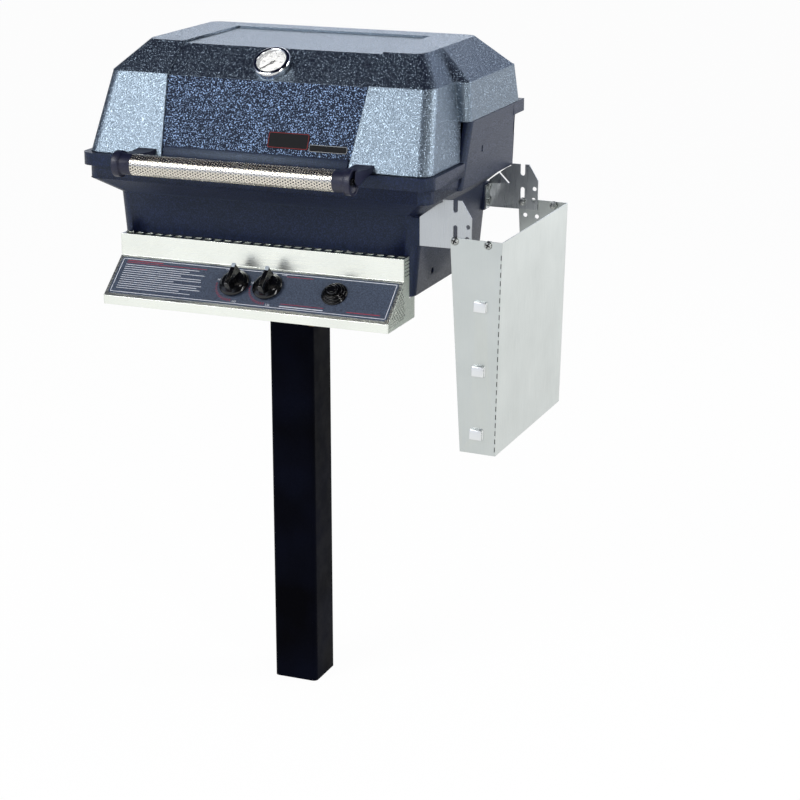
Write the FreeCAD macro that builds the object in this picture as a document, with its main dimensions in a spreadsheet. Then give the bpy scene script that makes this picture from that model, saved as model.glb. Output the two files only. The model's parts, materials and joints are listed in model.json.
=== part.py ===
"""Gas grill head on a square in-ground post, with a fold-down side shelf.

Millimetres. Origin on the post's axis at ground level, +Z up, the cook stands at -Y, +X is the shelf's side.
"""
import FreeCAD, Part
import math
import os

import Sketcher

doc = FreeCAD.newDocument("ParkGrill")
sheet = doc.addObject("Spreadsheet::Sheet", "Dimensions")

SIZES = {
    # Post, sunk in the ground
    "post_width": 88.9,
    "post_wall": 3.2,
    "post_corner": 9,
    "post_buried": 457,
    "post_height": 803,
    "pipe_hole_radius": 19,
    "pipe_hole_depth": 305,
    # Bracket that plugs into the post and carries the firebox
    "sleeve_clearance": 0.3,
    "sleeve_wall": 3,
    "sleeve_depth": 100,
    "plate_thickness": 5,
    "plate_half_width": 140,
    "plate_front": 47,
    "plate_back": 150,
    "gas_hole_radius": 20,
    "post_screw_spacing": 40,
    "post_screw_drop": 55,
    "foot_height": 12,
    "foot_radius": 13,
    "foot_spread": 115,
    "foot_front": 28,
    "foot_back": 125,
    # Firebox casting
    "cast_wall": 5,
    "floor_thickness": 6,
    "wall_height": 147,
    "flare_height": 31,
    "collar_height": 48,
    "lip_height": 23,
    "rear_rise": 70,
    "bottom_half": 285,
    "wall_half": 298,
    "collar_half": 335,
    "lip_half": 343,
    "rear_half": 346,
    "wall_front": 145,
    "collar_front": 191,
    "lip_front": 201,
    "wall_back": 216,
    "collar_back": 231,
    "rear_lip_back": 268,
    "box_corner": 22,
    "grid_ledge": 15,
    "burner_slot_half": 62,
    "burner_slot_front": 102,
    "burner_slot_back": 50,
    "drain_radius": 12,
    "drain_back": 180,
    # Parting line between firebox and lid
    "lid_gap": 0.6,
    "step_front_low": 40,
    "step_front_high": 15,
    # Lid casting
    "lid_wall": 4.5,
    "lid_base_half": 334,
    "lid_base_front": 191,
    "lid_shoulder_half": 317,
    "lid_shoulder_front": 129,
    "lid_shoulder_back": 229,
    "lid_top_half": 272,
    "lid_top_front": 63,
    "lid_top_back": 210,
    "lid_skirt_height": 140,
    "lid_slope_height": 51,
    "lid_corner": 24,
    "lid_rear_half": 343,
    "lid_rear_back": 248,
    "lid_rear_front": 27,
    "recess_half": 197,
    "recess_half_low": 182,
    "recess_depth": 4,
    "recess_back": 163,
    # Hinge at the rear rim
    "hinge_radius": 4.75,
    "hinge_play": 0.08,
    "hinge_back": 258,
    "hinge_rise": 10,
    "hinge_across": 258,
    "lug_width": 16,
    "lug_radius": 8,
    "ear_width": 9,
    "ear_radius": 8.5,
    "ear_gap": 0.6,
    # Handle
    "handle_radius": 19,
    "handle_wall": 1.2,
    "handle_half": 194,
    "handle_end": 22,
    "handle_disc": 12,
    "handle_disc_radius": 23.5,
    "handle_dish": 5,
    "handle_front": 268,
    "handle_drop": 0.5,
    "handle_arm": 36,
    "handle_rod_radius": 6,
    # Thermometer and badge plates
    "dial_radius": 30,
    "dial_rim": 5,
    "dial_case": 14,
    "dial_along": 47,
    "stem_radius": 3,
    "stem_length": 55,
    "badge_across": 20.5,
    "badge_width": 79.5,
    "badge_height": 32,
    "name_plate_width": 74,
    "name_plate_height": 14,
    "badge_thickness": 1.6,
    # Control panel
    "panel_half": 279,
    "panel_sheet": 1.2,
    "panel_rise": 75,
    "panel_face": 40,
    "panel_front": 172,
    "panel_run": 72,
    "panel_drop": 60,
    "panel_lip": 16,
    "panel_flange": 20,
    "overlay_half": 274.5,
    "overlay_thickness": 0.8,
    "overlay_top": 5,
    "overlay_height": 82,
    "end_sheet_back": 121,
    # Gas controls
    "control_along": 42,
    "knob_spacing": 66,
    "knob_radius": 28,
    "knob_skirt": 8,
    "knob_grip": 20,
    "knob_lift": 3.4,
    "knob_travel": 3,
    "valve_stem_radius": 4,
    "valve_width": 24,
    "valve_top": 9,
    "valve_depth": 42,
    "spud_radius": 5,
    "spud_offset": 6,
    "manifold_radius": 8,
    "manifold_left": 60,
    "manifold_right": 95,
    "inlet_radius": 7.94,
    "inlet_length": 12,
    "igniter_across": 162,
    "igniter_radius": 24,
    "button_radius": 11,
    "button_travel": 6,
    # Burners
    "venturi_radius": 14,
    "venturi_wall": 1.2,
    "venturi_bend": 28,
    "venturi_back": 75,
    "burner_inner": 25,
    "burner_width": 220,
    "burner_front": 105,
    "burner_length": 270,
    "burner_bar": 25,
    "burner_height": 22,
    "burner_rise": 36,
    "burner_skin": 1.2,
    # Cooking hardware
    "grate_rise": 78,
    "grate_bar": 5,
    "grate_gap": 6,
    "grate_front": 122,
    "grate_back": 192,
    "lug_front": 90,
    "lug_back": 160,
    "briquette_size": 58,
    "briquette_height": 26,
    "grid_half": 157,
    "grid_bar": 8,
    "grid_height": 10,
    "grid_lap": 4,
    "rack_wire": 3,
    "rack_rise": 52,
    "rack_front": 113,
    "rack_back": 203,
    "rack_overhang": 7,
    "cup_radius": 34,
    "cup_height": 55,
    # Side shelf
    "bracket_sheet": 2,
    "bracket_front": 145,
    "bracket_back": 213,
    "bracket_foot": 299,
    "bracket_flange": 25,
    "pivot_across": 365.4,
    "pivot_rise": 110,
    "pivot_radius": 3.5,
    "pivot_play": 0.06,
    "slot_half": 4,
    "slot_travel": 24,
    "bracket_rise": 96,
    "bracket_height": 85.5,
    "seat_slot_depth": 17,
    "lock_across": 61.6,
    "shelf_sheet": 1.5,
    "shelf_outer": 88,
    "shelf_top": 6,
    "shelf_length": 388,
    "shelf_inner_top": 9,
    "shelf_inner_bottom": 21,
    "shelf_tilt": 1.3,
    "shelf_side_gap": 0.4,
    "hook_across": 51.5,
    "hook_first": 112,
    "hook_margin": 36,
    "screw_head_radius": 7.5,
}


class Size:
    """A measure that carries its number and the sheet expression that it comes from."""

    def __init__(self, number, text):
        self.number = float(number)
        self.text = text

    def __add__(self, other):
        other = size(other)
        return Size(self.number + other.number, f"({self.text} + {other.text})")

    def __radd__(self, other):
        return size(other) + self

    def __sub__(self, other):
        other = size(other)
        return Size(self.number - other.number, f"({self.text} - {other.text})")

    def __rsub__(self, other):
        return size(other) - self

    def __mul__(self, other):
        other = size(other)
        return Size(self.number * other.number, f"({self.text} * {other.text})")

    def __rmul__(self, other):
        return size(other) * self

    def __truediv__(self, other):
        other = size(other)
        return Size(self.number / other.number, f"({self.text} / {other.text})")

    def __neg__(self):
        return Size(-self.number, f"(0 - {self.text})")


def size(value):
    """The value as a Size; a plain number stands for itself."""
    if isinstance(value, Size):
        return value
    return Size(value, f"{value:.9g}")


def length_of(run, drop):
    """Length of a slanted face."""
    return Size(math.hypot(run.number, drop.number), f"sqrt({run.text}^2 + {drop.text}^2)")


def slope_of(run, drop):
    """Angle of a slanted face from level, in degrees."""
    return Size(math.degrees(math.atan2(drop.number, run.number)), f"atan({drop.text} / {run.text})")


class Dimensions:
    """The sheet's cells, each as an attribute."""


d = Dimensions()
for row, (alias, number) in enumerate(SIZES.items(), start=1):
    sheet.set(f"A{row}", alias)
    sheet.set(f"B{row}", str(number))
    sheet.setAlias(f"B{row}", alias)
    setattr(d, alias, Size(number, f"Dimensions.{alias}"))
doc.recompute()

TURNS = {
    "+z": ((0, 0, 1), 0),
    "-z": ((1, 0, 0), 180),
    "+x": ((0, 1, 0), 90),
    "-x": ((0, 1, 0), -90),
    "+y": ((1, 0, 0), -90),
    "-y": ((1, 0, 0), 90),
}
PIECES = {}


def bind(item, name, measure):
    """Tie a property to the sheet."""
    item.setExpression(name, size(measure).text)


def place(item, point, axis=(0, 0, 1), angle=0):
    """Put an item at a point, turned about an axis."""
    turn = FreeCAD.Rotation(FreeCAD.Vector(*axis), size(angle).number)
    item.Placement = FreeCAD.Placement(FreeCAD.Vector(), turn)
    for letter, measure in zip("xyz", point):
        bind(item, f"Placement.Base.{letter}", measure)
    if isinstance(angle, Size):
        bind(item, "Placement.Rotation.Angle", angle)
    return item


def box(name, low, high):
    """A block between two opposite corners."""
    item = doc.addObject("Part::Box", name)
    for prop, start, end in zip(("Length", "Width", "Height"), low, high):
        bind(item, prop, size(end) - start)
    return place(item, low)


def rod(name, start, direction, radius, length):
    """A round bar that starts at a point and runs along one axis."""
    item = doc.addObject("Part::Cylinder", name)
    bind(item, "Radius", radius)
    bind(item, "Height", length)
    axis, angle = TURNS[direction]
    return place(item, start, axis, angle)


def cone(name, start, direction, radius, end_radius, length):
    """A round bar that tapers."""
    item = doc.addObject("Part::Cone", name)
    bind(item, "Radius1", radius)
    bind(item, "Radius2", end_radius)
    bind(item, "Height", length)
    axis, angle = TURNS[direction]
    return place(item, start, axis, angle)


def hexagon(name, start, direction, radius, length):
    """A hexagonal bar, for bolt heads and nuts."""
    item = doc.addObject("Part::Prism", name)
    item.Polygon = 6
    bind(item, "Circumradius", radius)
    bind(item, "Height", length)
    axis, angle = TURNS[direction]
    return place(item, start, axis, angle)


def fuse(name, *items):
    """Several solids as one."""
    item = doc.addObject("Part::MultiFuse", name)
    item.Shapes = list(items)
    item.Refine = True
    return item


def cut(name, base, *tools):
    """A solid with others taken away."""
    item = doc.addObject("Part::Cut", name)
    item.Base = base
    item.Tool = tools[0] if len(tools) == 1 else fuse(name + "_tools", *tools)
    item.Refine = True
    return item


def common(name, first, second):
    """What two solids share."""
    item = doc.addObject("Part::Common", name)
    item.Base = first
    item.Tool = second
    return item


def group(name, *items):
    """Like pieces that stay separate solids in one node."""
    item = doc.addObject("Part::Compound", name)
    item.Links = list(items)
    return item


def piece(name, item):
    """Give a finished sub-part its name."""
    item.Label = name
    PIECES[name] = item
    return item


def new_body(name):
    body = doc.addObject("PartDesign::Body", name + "_body")
    return body


def origin_plane(body, role):
    """One of a body's own origin planes."""
    for feature in body.Origin.OriginFeatures:
        if feature.Role == role:
            return feature
    raise RuntimeError("no plane " + role)


def sketch_on(body, role, offset=0):
    """A sketch on a body's own plane, lifted along the plane's normal."""
    sketch = body.newObject("Sketcher::SketchObject", body.Name + "_sketch")
    sketch.AttachmentSupport = (origin_plane(body, role), [""])
    sketch.MapMode = "FlatFace"
    bind(sketch, "AttachmentOffset.Base.z", offset)
    return sketch


def hold(sketch, kind, where, measure):
    """One driving dimension of a sketch, tied to the sheet."""
    measure = size(measure)
    index = sketch.addConstraint(Sketcher.Constraint(kind, *where, measure.number))
    sketch.setExpression(f"Constraints[{index}]", measure.text)


def pin(sketch, geometry, end, across, up):
    """Hold one point of a sketch at its two distances from the origin."""
    hold(sketch, "DistanceX", (-1, 1, geometry, end), across)
    hold(sketch, "DistanceY", (-1, 1, geometry, end), up)


def vector(across, up):
    return FreeCAD.Vector(size(across).number, size(up).number, 0)


def draw_polygon(sketch, points):
    """A closed polygon with every corner pinned."""
    first = sketch.GeometryCount
    count = len(points)
    for index in range(count):
        start = vector(*points[index])
        end = vector(*points[(index + 1) % count])
        sketch.addGeometry(Part.LineSegment(start, end), False)
    for index in range(count):
        following = first + (index + 1) % count
        sketch.addConstraint(Sketcher.Constraint("Coincident", first + index, 2, following, 1))
    for index, (across, up) in enumerate(points):
        pin(sketch, first + index, 1, across, up)


def draw_circle(sketch, across, up, radius):
    index = sketch.addGeometry(Part.Circle(vector(across, up), FreeCAD.Vector(0, 0, 1), size(radius).number), False)
    pin(sketch, index, 3, across, up)
    hold(sketch, "Radius", (index,), radius)


def draw_rounded_box(sketch, low, high, radius):
    """A rectangle with round corners between two opposite corners."""
    (left, front), (right, back) = low, high
    inner = ((left + radius, front + radius), (right - radius, front + radius),
             (right - radius, back - radius), (left + radius, back - radius))
    sides = (((left + radius, front), (right - radius, front)),
             ((right, front + radius), (right, back - radius)),
             ((right - radius, back), (left + radius, back)),
             ((left, back - radius), (left, front + radius)))
    lines = []
    for start, end in sides:
        line = sketch.addGeometry(Part.LineSegment(vector(*start), vector(*end)), False)
        pin(sketch, line, 1, *start)
        pin(sketch, line, 2, *end)
        lines.append(line)
    for index, centre in enumerate((inner[1], inner[2], inner[3], inner[0])):
        before = lines[index]
        after = lines[(index + 1) % 4]
        begin = math.radians(-90 + 90 * index)
        circle = Part.Circle(vector(*centre), FreeCAD.Vector(0, 0, 1), size(radius).number)
        arc = sketch.addGeometry(Part.ArcOfCircle(circle, begin, begin + math.pi / 2), False)
        sketch.addConstraint(Sketcher.Constraint("Coincident", arc, 1, before, 2))
        sketch.addConstraint(Sketcher.Constraint("Coincident", arc, 2, after, 1))
        hold(sketch, "Radius", (arc,), radius)


PLANES = {"x": "YZ_Plane", "y": "XZ_Plane", "z": "XY_Plane"}


def prism(name, axis, low, high, points, circles=()):
    """A flat outline made thick along one axis; circles are holes through it."""
    body = new_body(name)
    offset = -size(high) if axis == "y" else size(low)
    sketch = sketch_on(body, PLANES[axis], offset)
    draw_polygon(sketch, points)
    for circle in circles:
        draw_circle(sketch, *circle)
    pad = body.newObject("PartDesign::Pad", name + "_pad")
    pad.Profile = sketch
    bind(pad, "Length", size(high) - low)
    return body


def turned(name, points):
    """A round piece from its half outline of radius and height."""
    body = new_body(name)
    sketch = sketch_on(body, "XZ_Plane")
    draw_polygon(sketch, points)
    turn = body.newObject("PartDesign::Revolution", name + "_turn")
    turn.Profile = sketch
    turn.ReferenceAxis = (sketch, ["V_Axis"])
    turn.Angle = 360
    return body


def square_tube(name, half, wall, corner, low, high):
    """A square tube with round corners, standing upright."""
    body = new_body(name)
    sketch = sketch_on(body, "XY_Plane", low)
    draw_rounded_box(sketch, (-half, -half), (half, half), corner)
    inside = half - wall
    draw_rounded_box(sketch, (-inside, -inside), (inside, inside), corner - wall)
    pad = body.newObject("PartDesign::Pad", name + "_pad")
    pad.Profile = sketch
    bind(pad, "Length", size(high) - low)
    return body


def frustum(name, lower, upper):
    """A block with four upright or leaning walls between two levels, its corners rounded."""
    body = new_body(name)
    wedge = body.newObject("PartDesign::AdditiveWedge", name + "_wedge")
    wedge.AttachmentSupport = (origin_plane(body, "XZ_Plane"), [""])
    wedge.MapMode = "FlatFace"
    low, half, front, back, corner = lower
    high, high_half, high_front, high_back = upper[:4]
    for prop, measure in (("Xmin", -half), ("Xmax", half), ("X2min", -high_half), ("X2max", high_half),
                          ("Ymin", low), ("Ymax", high), ("Zmin", -back), ("Zmax", -front),
                          ("Z2min", -high_back), ("Z2max", -high_front)):
        bind(wedge, prop, measure)
    wedge.recompute()
    upright = []
    for index, edge in enumerate(wedge.Shape.Edges, start=1):
        rise = edge.Vertexes[0].Point.z - edge.Vertexes[-1].Point.z
        if abs(rise) > 1:
            upright.append(f"Edge{index}")
    rounded = body.newObject("PartDesign::Fillet", name + "_corners")
    rounded.Base = (wedge, upright)
    bind(rounded, "Radius", corner)
    return body


def tub(name, *levels):
    """Frustums stacked on one another.

    Each level is its height, half width, front and back, and the radius of the corners above it.
    """
    blocks = [frustum(f"{name}_{index}", lower, upper)
              for index, (lower, upper) in enumerate(zip(levels, levels[1:]))]
    return blocks[0] if len(blocks) == 1 else fuse(name, *blocks)


def both_sides(make):
    """The same thing made on the left and on the right."""
    return [make(side, sign) for side, sign in (("left", -1), ("right", 1))]


# Heights of the head's levels
floor_low = d.post_height + d.plate_thickness + d.foot_height
floor_top = floor_low + d.floor_thickness
flare_low = floor_low + d.wall_height
collar_low = flare_low + d.flare_height
rim = collar_low + d.collar_height
rear_rim = rim + d.rear_rise
lid_low = rim + d.lid_gap
lid_rear_low = rear_rim + d.lid_gap
shoulder = lid_low + d.lid_skirt_height
lid_top = shoulder + d.lid_slope_height
plate_top = d.post_height + d.plate_thickness
bracket_low = floor_low + d.bracket_rise
bracket_top = bracket_low + d.bracket_height
seat_slot_up = bracket_top - d.seat_slot_depth
pivot_up = floor_low + d.pivot_rise
SEAT = 0.1
"""Play of a bolt in its hole, in millimetres."""
PLAY = 0.06
"""Play of a turning or sliding shaft in its hole, in millimetres."""
ROOT = 2
"""How far a cast boss runs into the wall that it stands on, in millimetres."""

# Post
post_half = d.post_width / 2
post_screw_up = d.post_height - d.post_screw_drop
post_screw_half = d.post_screw_spacing / 2


def post_screw_holes(name, radius):
    """Two holes through the rear walls of post and sleeve."""
    return both_sides(lambda side, sign: rod(
        f"{name}_{side}", (sign * post_screw_half, post_half - 20, post_screw_up), "+y", radius, 24))


post = square_tube("post", post_half, d.post_wall, d.post_corner, -d.post_buried, d.post_height)
pipe_hole = rod("pipe_hole", (0, 0, -d.pipe_hole_depth), "+y", d.pipe_hole_radius, d.post_width)
piece("ground_post", cut("ground_post", post, pipe_hole, *post_screw_holes("post_hole", 5 + SEAT)))

# Head bracket: a plate with a square sleeve that slides into the post
sleeve_half = post_half - d.post_wall - d.sleeve_clearance
sleeve = square_tube("sleeve", sleeve_half, d.sleeve_wall, d.post_corner - d.post_wall,
                     d.post_height - d.sleeve_depth, d.post_height)
plate = box("plate", (-d.plate_half_width, -d.plate_front, d.post_height),
            (d.plate_half_width, d.plate_back, plate_top))
feet = [(sign * d.foot_spread, depth) for sign in (-1, 1) for depth in (-d.foot_front, d.foot_back)]
foot_holes = [rod("foot_hole", (x, y, d.post_height - 1), "+z", 4 + SEAT, d.plate_thickness + 2) for x, y in feet]
gas_hole = rod("gas_hole", (0, 0, d.post_height - 1), "+z", d.gas_hole_radius, d.plate_thickness + 2)
piece("head_bracket", cut("head_bracket", fuse("bracket_blank", plate, sleeve), gas_hole,
                          *foot_holes, *post_screw_holes("sleeve_hole", 5 + SEAT)))


def bolt(name, start, direction, radius, length, head_radius, head):
    """A hexagon bolt; the start is under its head."""
    opposite = {"+": "-", "-": "+"}[direction[0]] + direction[1]
    shank = rod(name + "_shank", start, direction, radius, length)
    return fuse(name, shank, hexagon(name + "_head", start, opposite, head_radius, head))


piece("post_screws", group("post_screws", *both_sides(lambda side, sign: bolt(
    "post_screw_" + side, (sign * post_screw_half, post_half, post_screw_up), "-y", 5, 14, 9, 6))))
piece("head_bolts", group("head_bolts", *[bolt(
    "head_bolt", (x, y, d.post_height), "+z", 4, d.plate_thickness + 10, 7.5, 5.5) for x, y in feet]))

# Firebox casting
wall = d.cast_wall
rear_slope = (d.step_front_low - d.step_front_high) / d.rear_rise
rear_front_low = -d.step_front_low - rear_slope * d.collar_height
rear_front_high = size(0) - d.step_front_high
firebox_lower = tub(
    "firebox_lower",
    (floor_low, d.bottom_half, -d.wall_front, d.wall_back - 6, d.box_corner),
    (flare_low, d.wall_half, -d.wall_front, d.wall_back, d.box_corner + 12),
    (collar_low, d.collar_half, -d.collar_front, d.collar_back - 6, d.box_corner),
    (rim, d.collar_half, -d.collar_front, d.collar_back - 6))
firebox_rear = tub(
    "firebox_rear",
    (collar_low, d.rear_half - 5, rear_front_low, d.collar_back, size(12)),
    (rear_rim, d.rear_half, rear_front_high, d.collar_back))
firebox_lip = tub(
    "firebox_lip",
    (rim - d.lip_height, d.lip_half, -d.lip_front, size(0), d.box_corner),
    (rim, d.lip_half, -d.lip_front, size(0)))
lip_end = prism("lip_end", "x", -d.rear_half - 5, d.rear_half + 5, (
    (-d.step_front_low, rim - d.rear_rise), (size(0) - d.step_front_low, rim), (rear_front_high, rear_rim),
    (size(50), rear_rim), (size(50), rim - d.rear_rise)))
front_lip = cut("front_lip", firebox_lip, lip_end)
rear_lip = box("rear_lip", (-d.rear_half, d.collar_back - 20, rear_rim - d.lip_height),
               (d.rear_half, d.rear_lip_back, rear_rim))
box_feet = [rod("box_foot", (x, y, plate_top), "+z", d.foot_radius, d.foot_height + ROOT) for x, y in feet]


def shelf_pad(name, front, back):
    """A flat pad on the firebox's right wall that a shelf bracket is screwed to."""
    return box(name, (d.wall_half - 16, front, bracket_low - 2), (d.bracket_foot, back, flare_low - 2))


pad_front = shelf_pad("pad_front", -d.bracket_front + 1, d.bracket_flange - d.bracket_front + 4)
pad_back = shelf_pad("pad_back", d.bracket_back - d.bracket_flange - 4, d.bracket_back - 1)
hinge_up = rear_rim + d.hinge_rise


def hinge_ear(side, sign, inner):
    """One cast ear beside a lid lug."""
    start = d.hinge_across - d.lug_width / 2 - d.ear_gap - d.ear_width
    if not inner:
        start = d.hinge_across + d.lug_width / 2 + d.ear_gap
    low = start if sign > 0 else -start - d.ear_width
    base = box("ear_base", (low, d.hinge_back - d.ear_radius, rear_rim - ROOT),
               (low + d.ear_width, d.hinge_back + d.ear_radius, hinge_up))
    return fuse("ear", base, rod("ear_eye", (low, d.hinge_back, hinge_up), "+x", d.ear_radius, d.ear_width))


ears = [hinge_ear(side, sign, inner) for side, sign in (("left", -1), ("right", 1)) for inner in (True, False)]
firebox_blank = fuse("firebox_blank", firebox_lower, firebox_rear, front_lip, rear_lip, pad_front, pad_back,
                     *box_feet, *ears)
cavity_lower = tub(
    "cavity_lower",
    (floor_top, d.bottom_half - wall, wall - d.wall_front, d.wall_back - 6 - wall, d.box_corner - wall),
    (flare_low - 4, d.wall_half - wall - 1, wall - d.wall_front, d.wall_back - wall, d.box_corner + 7),
    (collar_low, d.collar_half - d.grid_ledge, d.grid_ledge - d.collar_front, d.collar_back - d.grid_ledge))
cavity_upper = tub(
    "cavity_upper",
    (collar_low, d.collar_half - wall, wall - d.collar_front, d.collar_back - 7, d.box_corner - wall),
    (rear_rim + 1, d.collar_half - wall, wall - d.collar_front, d.collar_back - 7))
cavity_rear = tub(
    "cavity_rear",
    (collar_low + wall, d.rear_half - wall - 5, rear_front_low + wall + 4, d.collar_back - wall, size(8)),
    (rear_rim + 1, d.rear_half - wall, rear_front_high + wall + 2, d.collar_back - wall))
grate_up = floor_top + d.grate_rise
rack_up = rim + d.rack_rise
lug_inner = d.bottom_half - wall - 12
grate_lugs = [box("grate_lug", (lug_inner if sign > 0 else -lug_inner - 20, depth - 10, grate_up - 10),
                  (lug_inner + 20 if sign > 0 else -lug_inner, depth + 10, grate_up))
              for sign in (-1, 1) for depth in (-d.lug_front, d.lug_back)]
rack_inner = d.rear_half - wall - 16
rack_lugs = [box("rack_lug", (rack_inner if sign > 0 else -rack_inner - 20, depth - 7, rack_up - 8),
                 (rack_inner + 20 if sign > 0 else -rack_inner, depth + 7, rack_up))
             for sign in (-1, 1) for depth in (d.rack_front, d.rack_back)]
burner_slot = box("burner_slot", (-d.burner_slot_half, -d.burner_slot_front, floor_low - 1),
                  (d.burner_slot_half, -d.burner_slot_back, floor_top + 1))
drain = rod("drain", (0, d.drain_back, floor_low - 1), "+z", d.drain_radius, d.floor_thickness + 2)
foot_bores = [rod("foot_bore", (x, y, plate_top - 1), "+z", 4 + SEAT, d.foot_height) for x, y in feet]
match_hole = rod("match_hole", (-d.wall_half, -54, floor_low + 30), "+x", 6, d.wall_half * 2)
corner_slots = box("corner_slots", (-d.rear_half - 1, d.collar_back - 17, rear_rim - d.lip_height - 36),
                   (d.rear_half + 1, d.collar_back - 5, rear_rim - d.lip_height - 3))
side_hole = box("side_hole", (-d.rear_half - 1, 44, rim + 6), (d.rear_half + 1, 50, rim + 18))
bracket_screws = [(depth, up)
                  for depth in (d.bracket_flange / 2 - d.bracket_front, d.bracket_back - d.bracket_flange / 2)
                  for up in (bracket_low + 12, bracket_low + 40)]
pad_holes = [rod("pad_hole", (d.bracket_foot - 12, depth, up), "+x", 3 + SEAT, 20)
             for depth, up in bracket_screws]
hinge_bores = [rod("hinge_bore", (sign * d.hinge_across - 30, d.hinge_back, hinge_up), "+x",
                   d.hinge_radius + SEAT / 5, 60) for sign in (-1, 1)]
panel_screw_up = floor_low + d.panel_rise - d.panel_flange / 2 - 2
panel_screws = [d.panel_half * share for share in (-0.75, -0.25, 0.25, 0.75)]
panel_screw_holes = [rod("panel_screw_hole", (x, -d.wall_front - 1, panel_screw_up), "+y", 2 + SEAT, 8)
                     for x in panel_screws]
electrode_hole = rod("electrode_hole", (75, -d.venturi_back, floor_low - 1), "+z", 4 + SEAT, d.floor_thickness + 2)
firebox_shell = cut("firebox_shell", firebox_blank, cavity_lower, cavity_upper, cavity_rear)
firebox_full = fuse("firebox_full", firebox_shell, *grate_lugs, *rack_lugs)
piece("firebox", cut("firebox", firebox_full, burner_slot, drain, match_hole, corner_slots, side_hole,
                     electrode_hole, *foot_bores, *pad_holes, *hinge_bores, *panel_screw_holes))

# Hinge pins and their clips
lug_half = d.lug_width / 2
ear_reach = lug_half + d.ear_gap + d.ear_width


def hinge_pin(side, sign):
    """A headed pin through two ears and the lug between them."""
    start = sign * (d.hinge_across - ear_reach)
    direction = "+x" if sign > 0 else "-x"
    back = "-x" if sign > 0 else "+x"
    shank = rod("pin_shank", (start, d.hinge_back, hinge_up), direction, d.hinge_radius, ear_reach * 2 + 4)
    return fuse("pin_" + side, shank, rod("pin_head", (start, d.hinge_back, hinge_up), back, 7, 3))


def hinge_clip(side, sign):
    """A ring in the pin's free end."""
    start = (sign * (d.hinge_across + ear_reach + 0.2), d.hinge_back, hinge_up)
    direction = "+x" if sign > 0 else "-x"
    return cut("clip_" + side, rod("clip_disc", start, direction, 7, 1.5),
               rod("clip_eye", start, direction, d.hinge_radius + SEAT / 10, 1.5))


piece("hinge_pins", group("hinge_pins", *both_sides(hinge_pin)))
piece("hinge_clips", group("hinge_clips", *both_sides(hinge_clip)))

# Lid casting
lid_run = d.lid_base_front - d.lid_shoulder_front
slope_run = d.lid_shoulder_front - d.lid_top_front
front_length = length_of(lid_run, d.lid_skirt_height)
slope_length = length_of(slope_run, d.lid_slope_height)
slope_tilt = slope_of(slope_run, d.lid_slope_height)
rear_height = shoulder - lid_rear_low
back_slope = (d.lid_rear_back - d.lid_shoulder_back) / rear_height


def lid_shape(name, inset, low, rear_front):
    """The lid's outside, or its inside when inset by the wall."""
    corner = d.lid_corner - inset
    front = tub(
        name + "_front",
        (low, d.lid_base_half - inset, inset - d.lid_base_front, size(150), corner),
        (shoulder, d.lid_shoulder_half - inset, inset - d.lid_shoulder_front, size(150), corner + 10),
        (lid_top - inset, d.lid_top_half - inset, inset - d.lid_top_front, size(150)))
    rear = tub(
        name + "_rear",
        (lid_rear_low - 0.2 * inset, d.rear_half - inset, rear_front, d.lid_rear_back - inset, corner - 10),
        (shoulder, d.lid_rear_half - inset, rear_front, d.lid_shoulder_back - inset, corner - 1),
        (lid_top - inset, d.lid_top_half + 0.5 - inset, rear_front + 47, d.lid_top_back - inset))
    return fuse(name, front, rear)


def recess_shape(name, inset, spread):
    """The sunk panel's volume, bounded by faces set in from the lid's front, slope and top."""
    front_out = d.lid_skirt_height / front_length
    front_up = lid_run / front_length
    slope_out = d.lid_slope_height / slope_length
    slope_up = slope_run / slope_length
    mitre = inset / (front_out * slope_out + front_up * slope_up + 1)
    side = prism(name + "_side", "x", -d.recess_half - spread, d.recess_half + spread, (
        (inset / front_out - d.lid_base_front, lid_low),
        (mitre * (front_out + slope_out) - d.lid_shoulder_front, shoulder - mitre * (front_up + slope_up)),
        (inset * slope_out / (slope_up + 1) - d.lid_top_front, lid_top - inset),
        (d.recess_back + spread, lid_top - inset),
        (d.recess_back + spread, lid_top + 20), (-d.lid_base_front - 60, lid_top + 20),
        (-d.lid_base_front - 60, lid_low)))
    face = prism(name + "_face", "y", -d.lid_base_front - 70, d.recess_back + spread + 10, (
        (-d.recess_half_low - spread, lid_low), (d.recess_half_low + spread, lid_low),
        (d.recess_half + spread, shoulder), (d.recess_half + spread, lid_top + 30),
        (-d.recess_half - spread, lid_top + 30), (-d.recess_half - spread, shoulder)))
    return common(name, side, face)


parting = prism("parting", "x", -d.rear_half - 10, d.rear_half + 10, (
    (-d.step_front_low, lid_low - 10), (size(0) - d.step_front_low, lid_low), (rear_front_high, lid_rear_low),
    (d.rear_lip_back + 40, lid_rear_low), (d.rear_lip_back + 40, lid_low - 10)))
lid_block = lid_shape("lid_outside", size(0), lid_low, -d.lid_rear_front)
lid_cavity = lid_shape("lid_inside", d.lid_wall, lid_low - 1, size(-8))
recess_back_face = common("recess_back_face", lid_block,
                          recess_shape("recess_inside", d.recess_depth + d.lid_wall, d.lid_wall))
lid_walls = fuse("lid_walls", cut("lid_hollow", lid_block, lid_cavity), recess_back_face)
lid_shell = cut("lid_shell", lid_walls, parting, recess_shape("recess_outside", d.recess_depth, size(0)))


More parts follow.
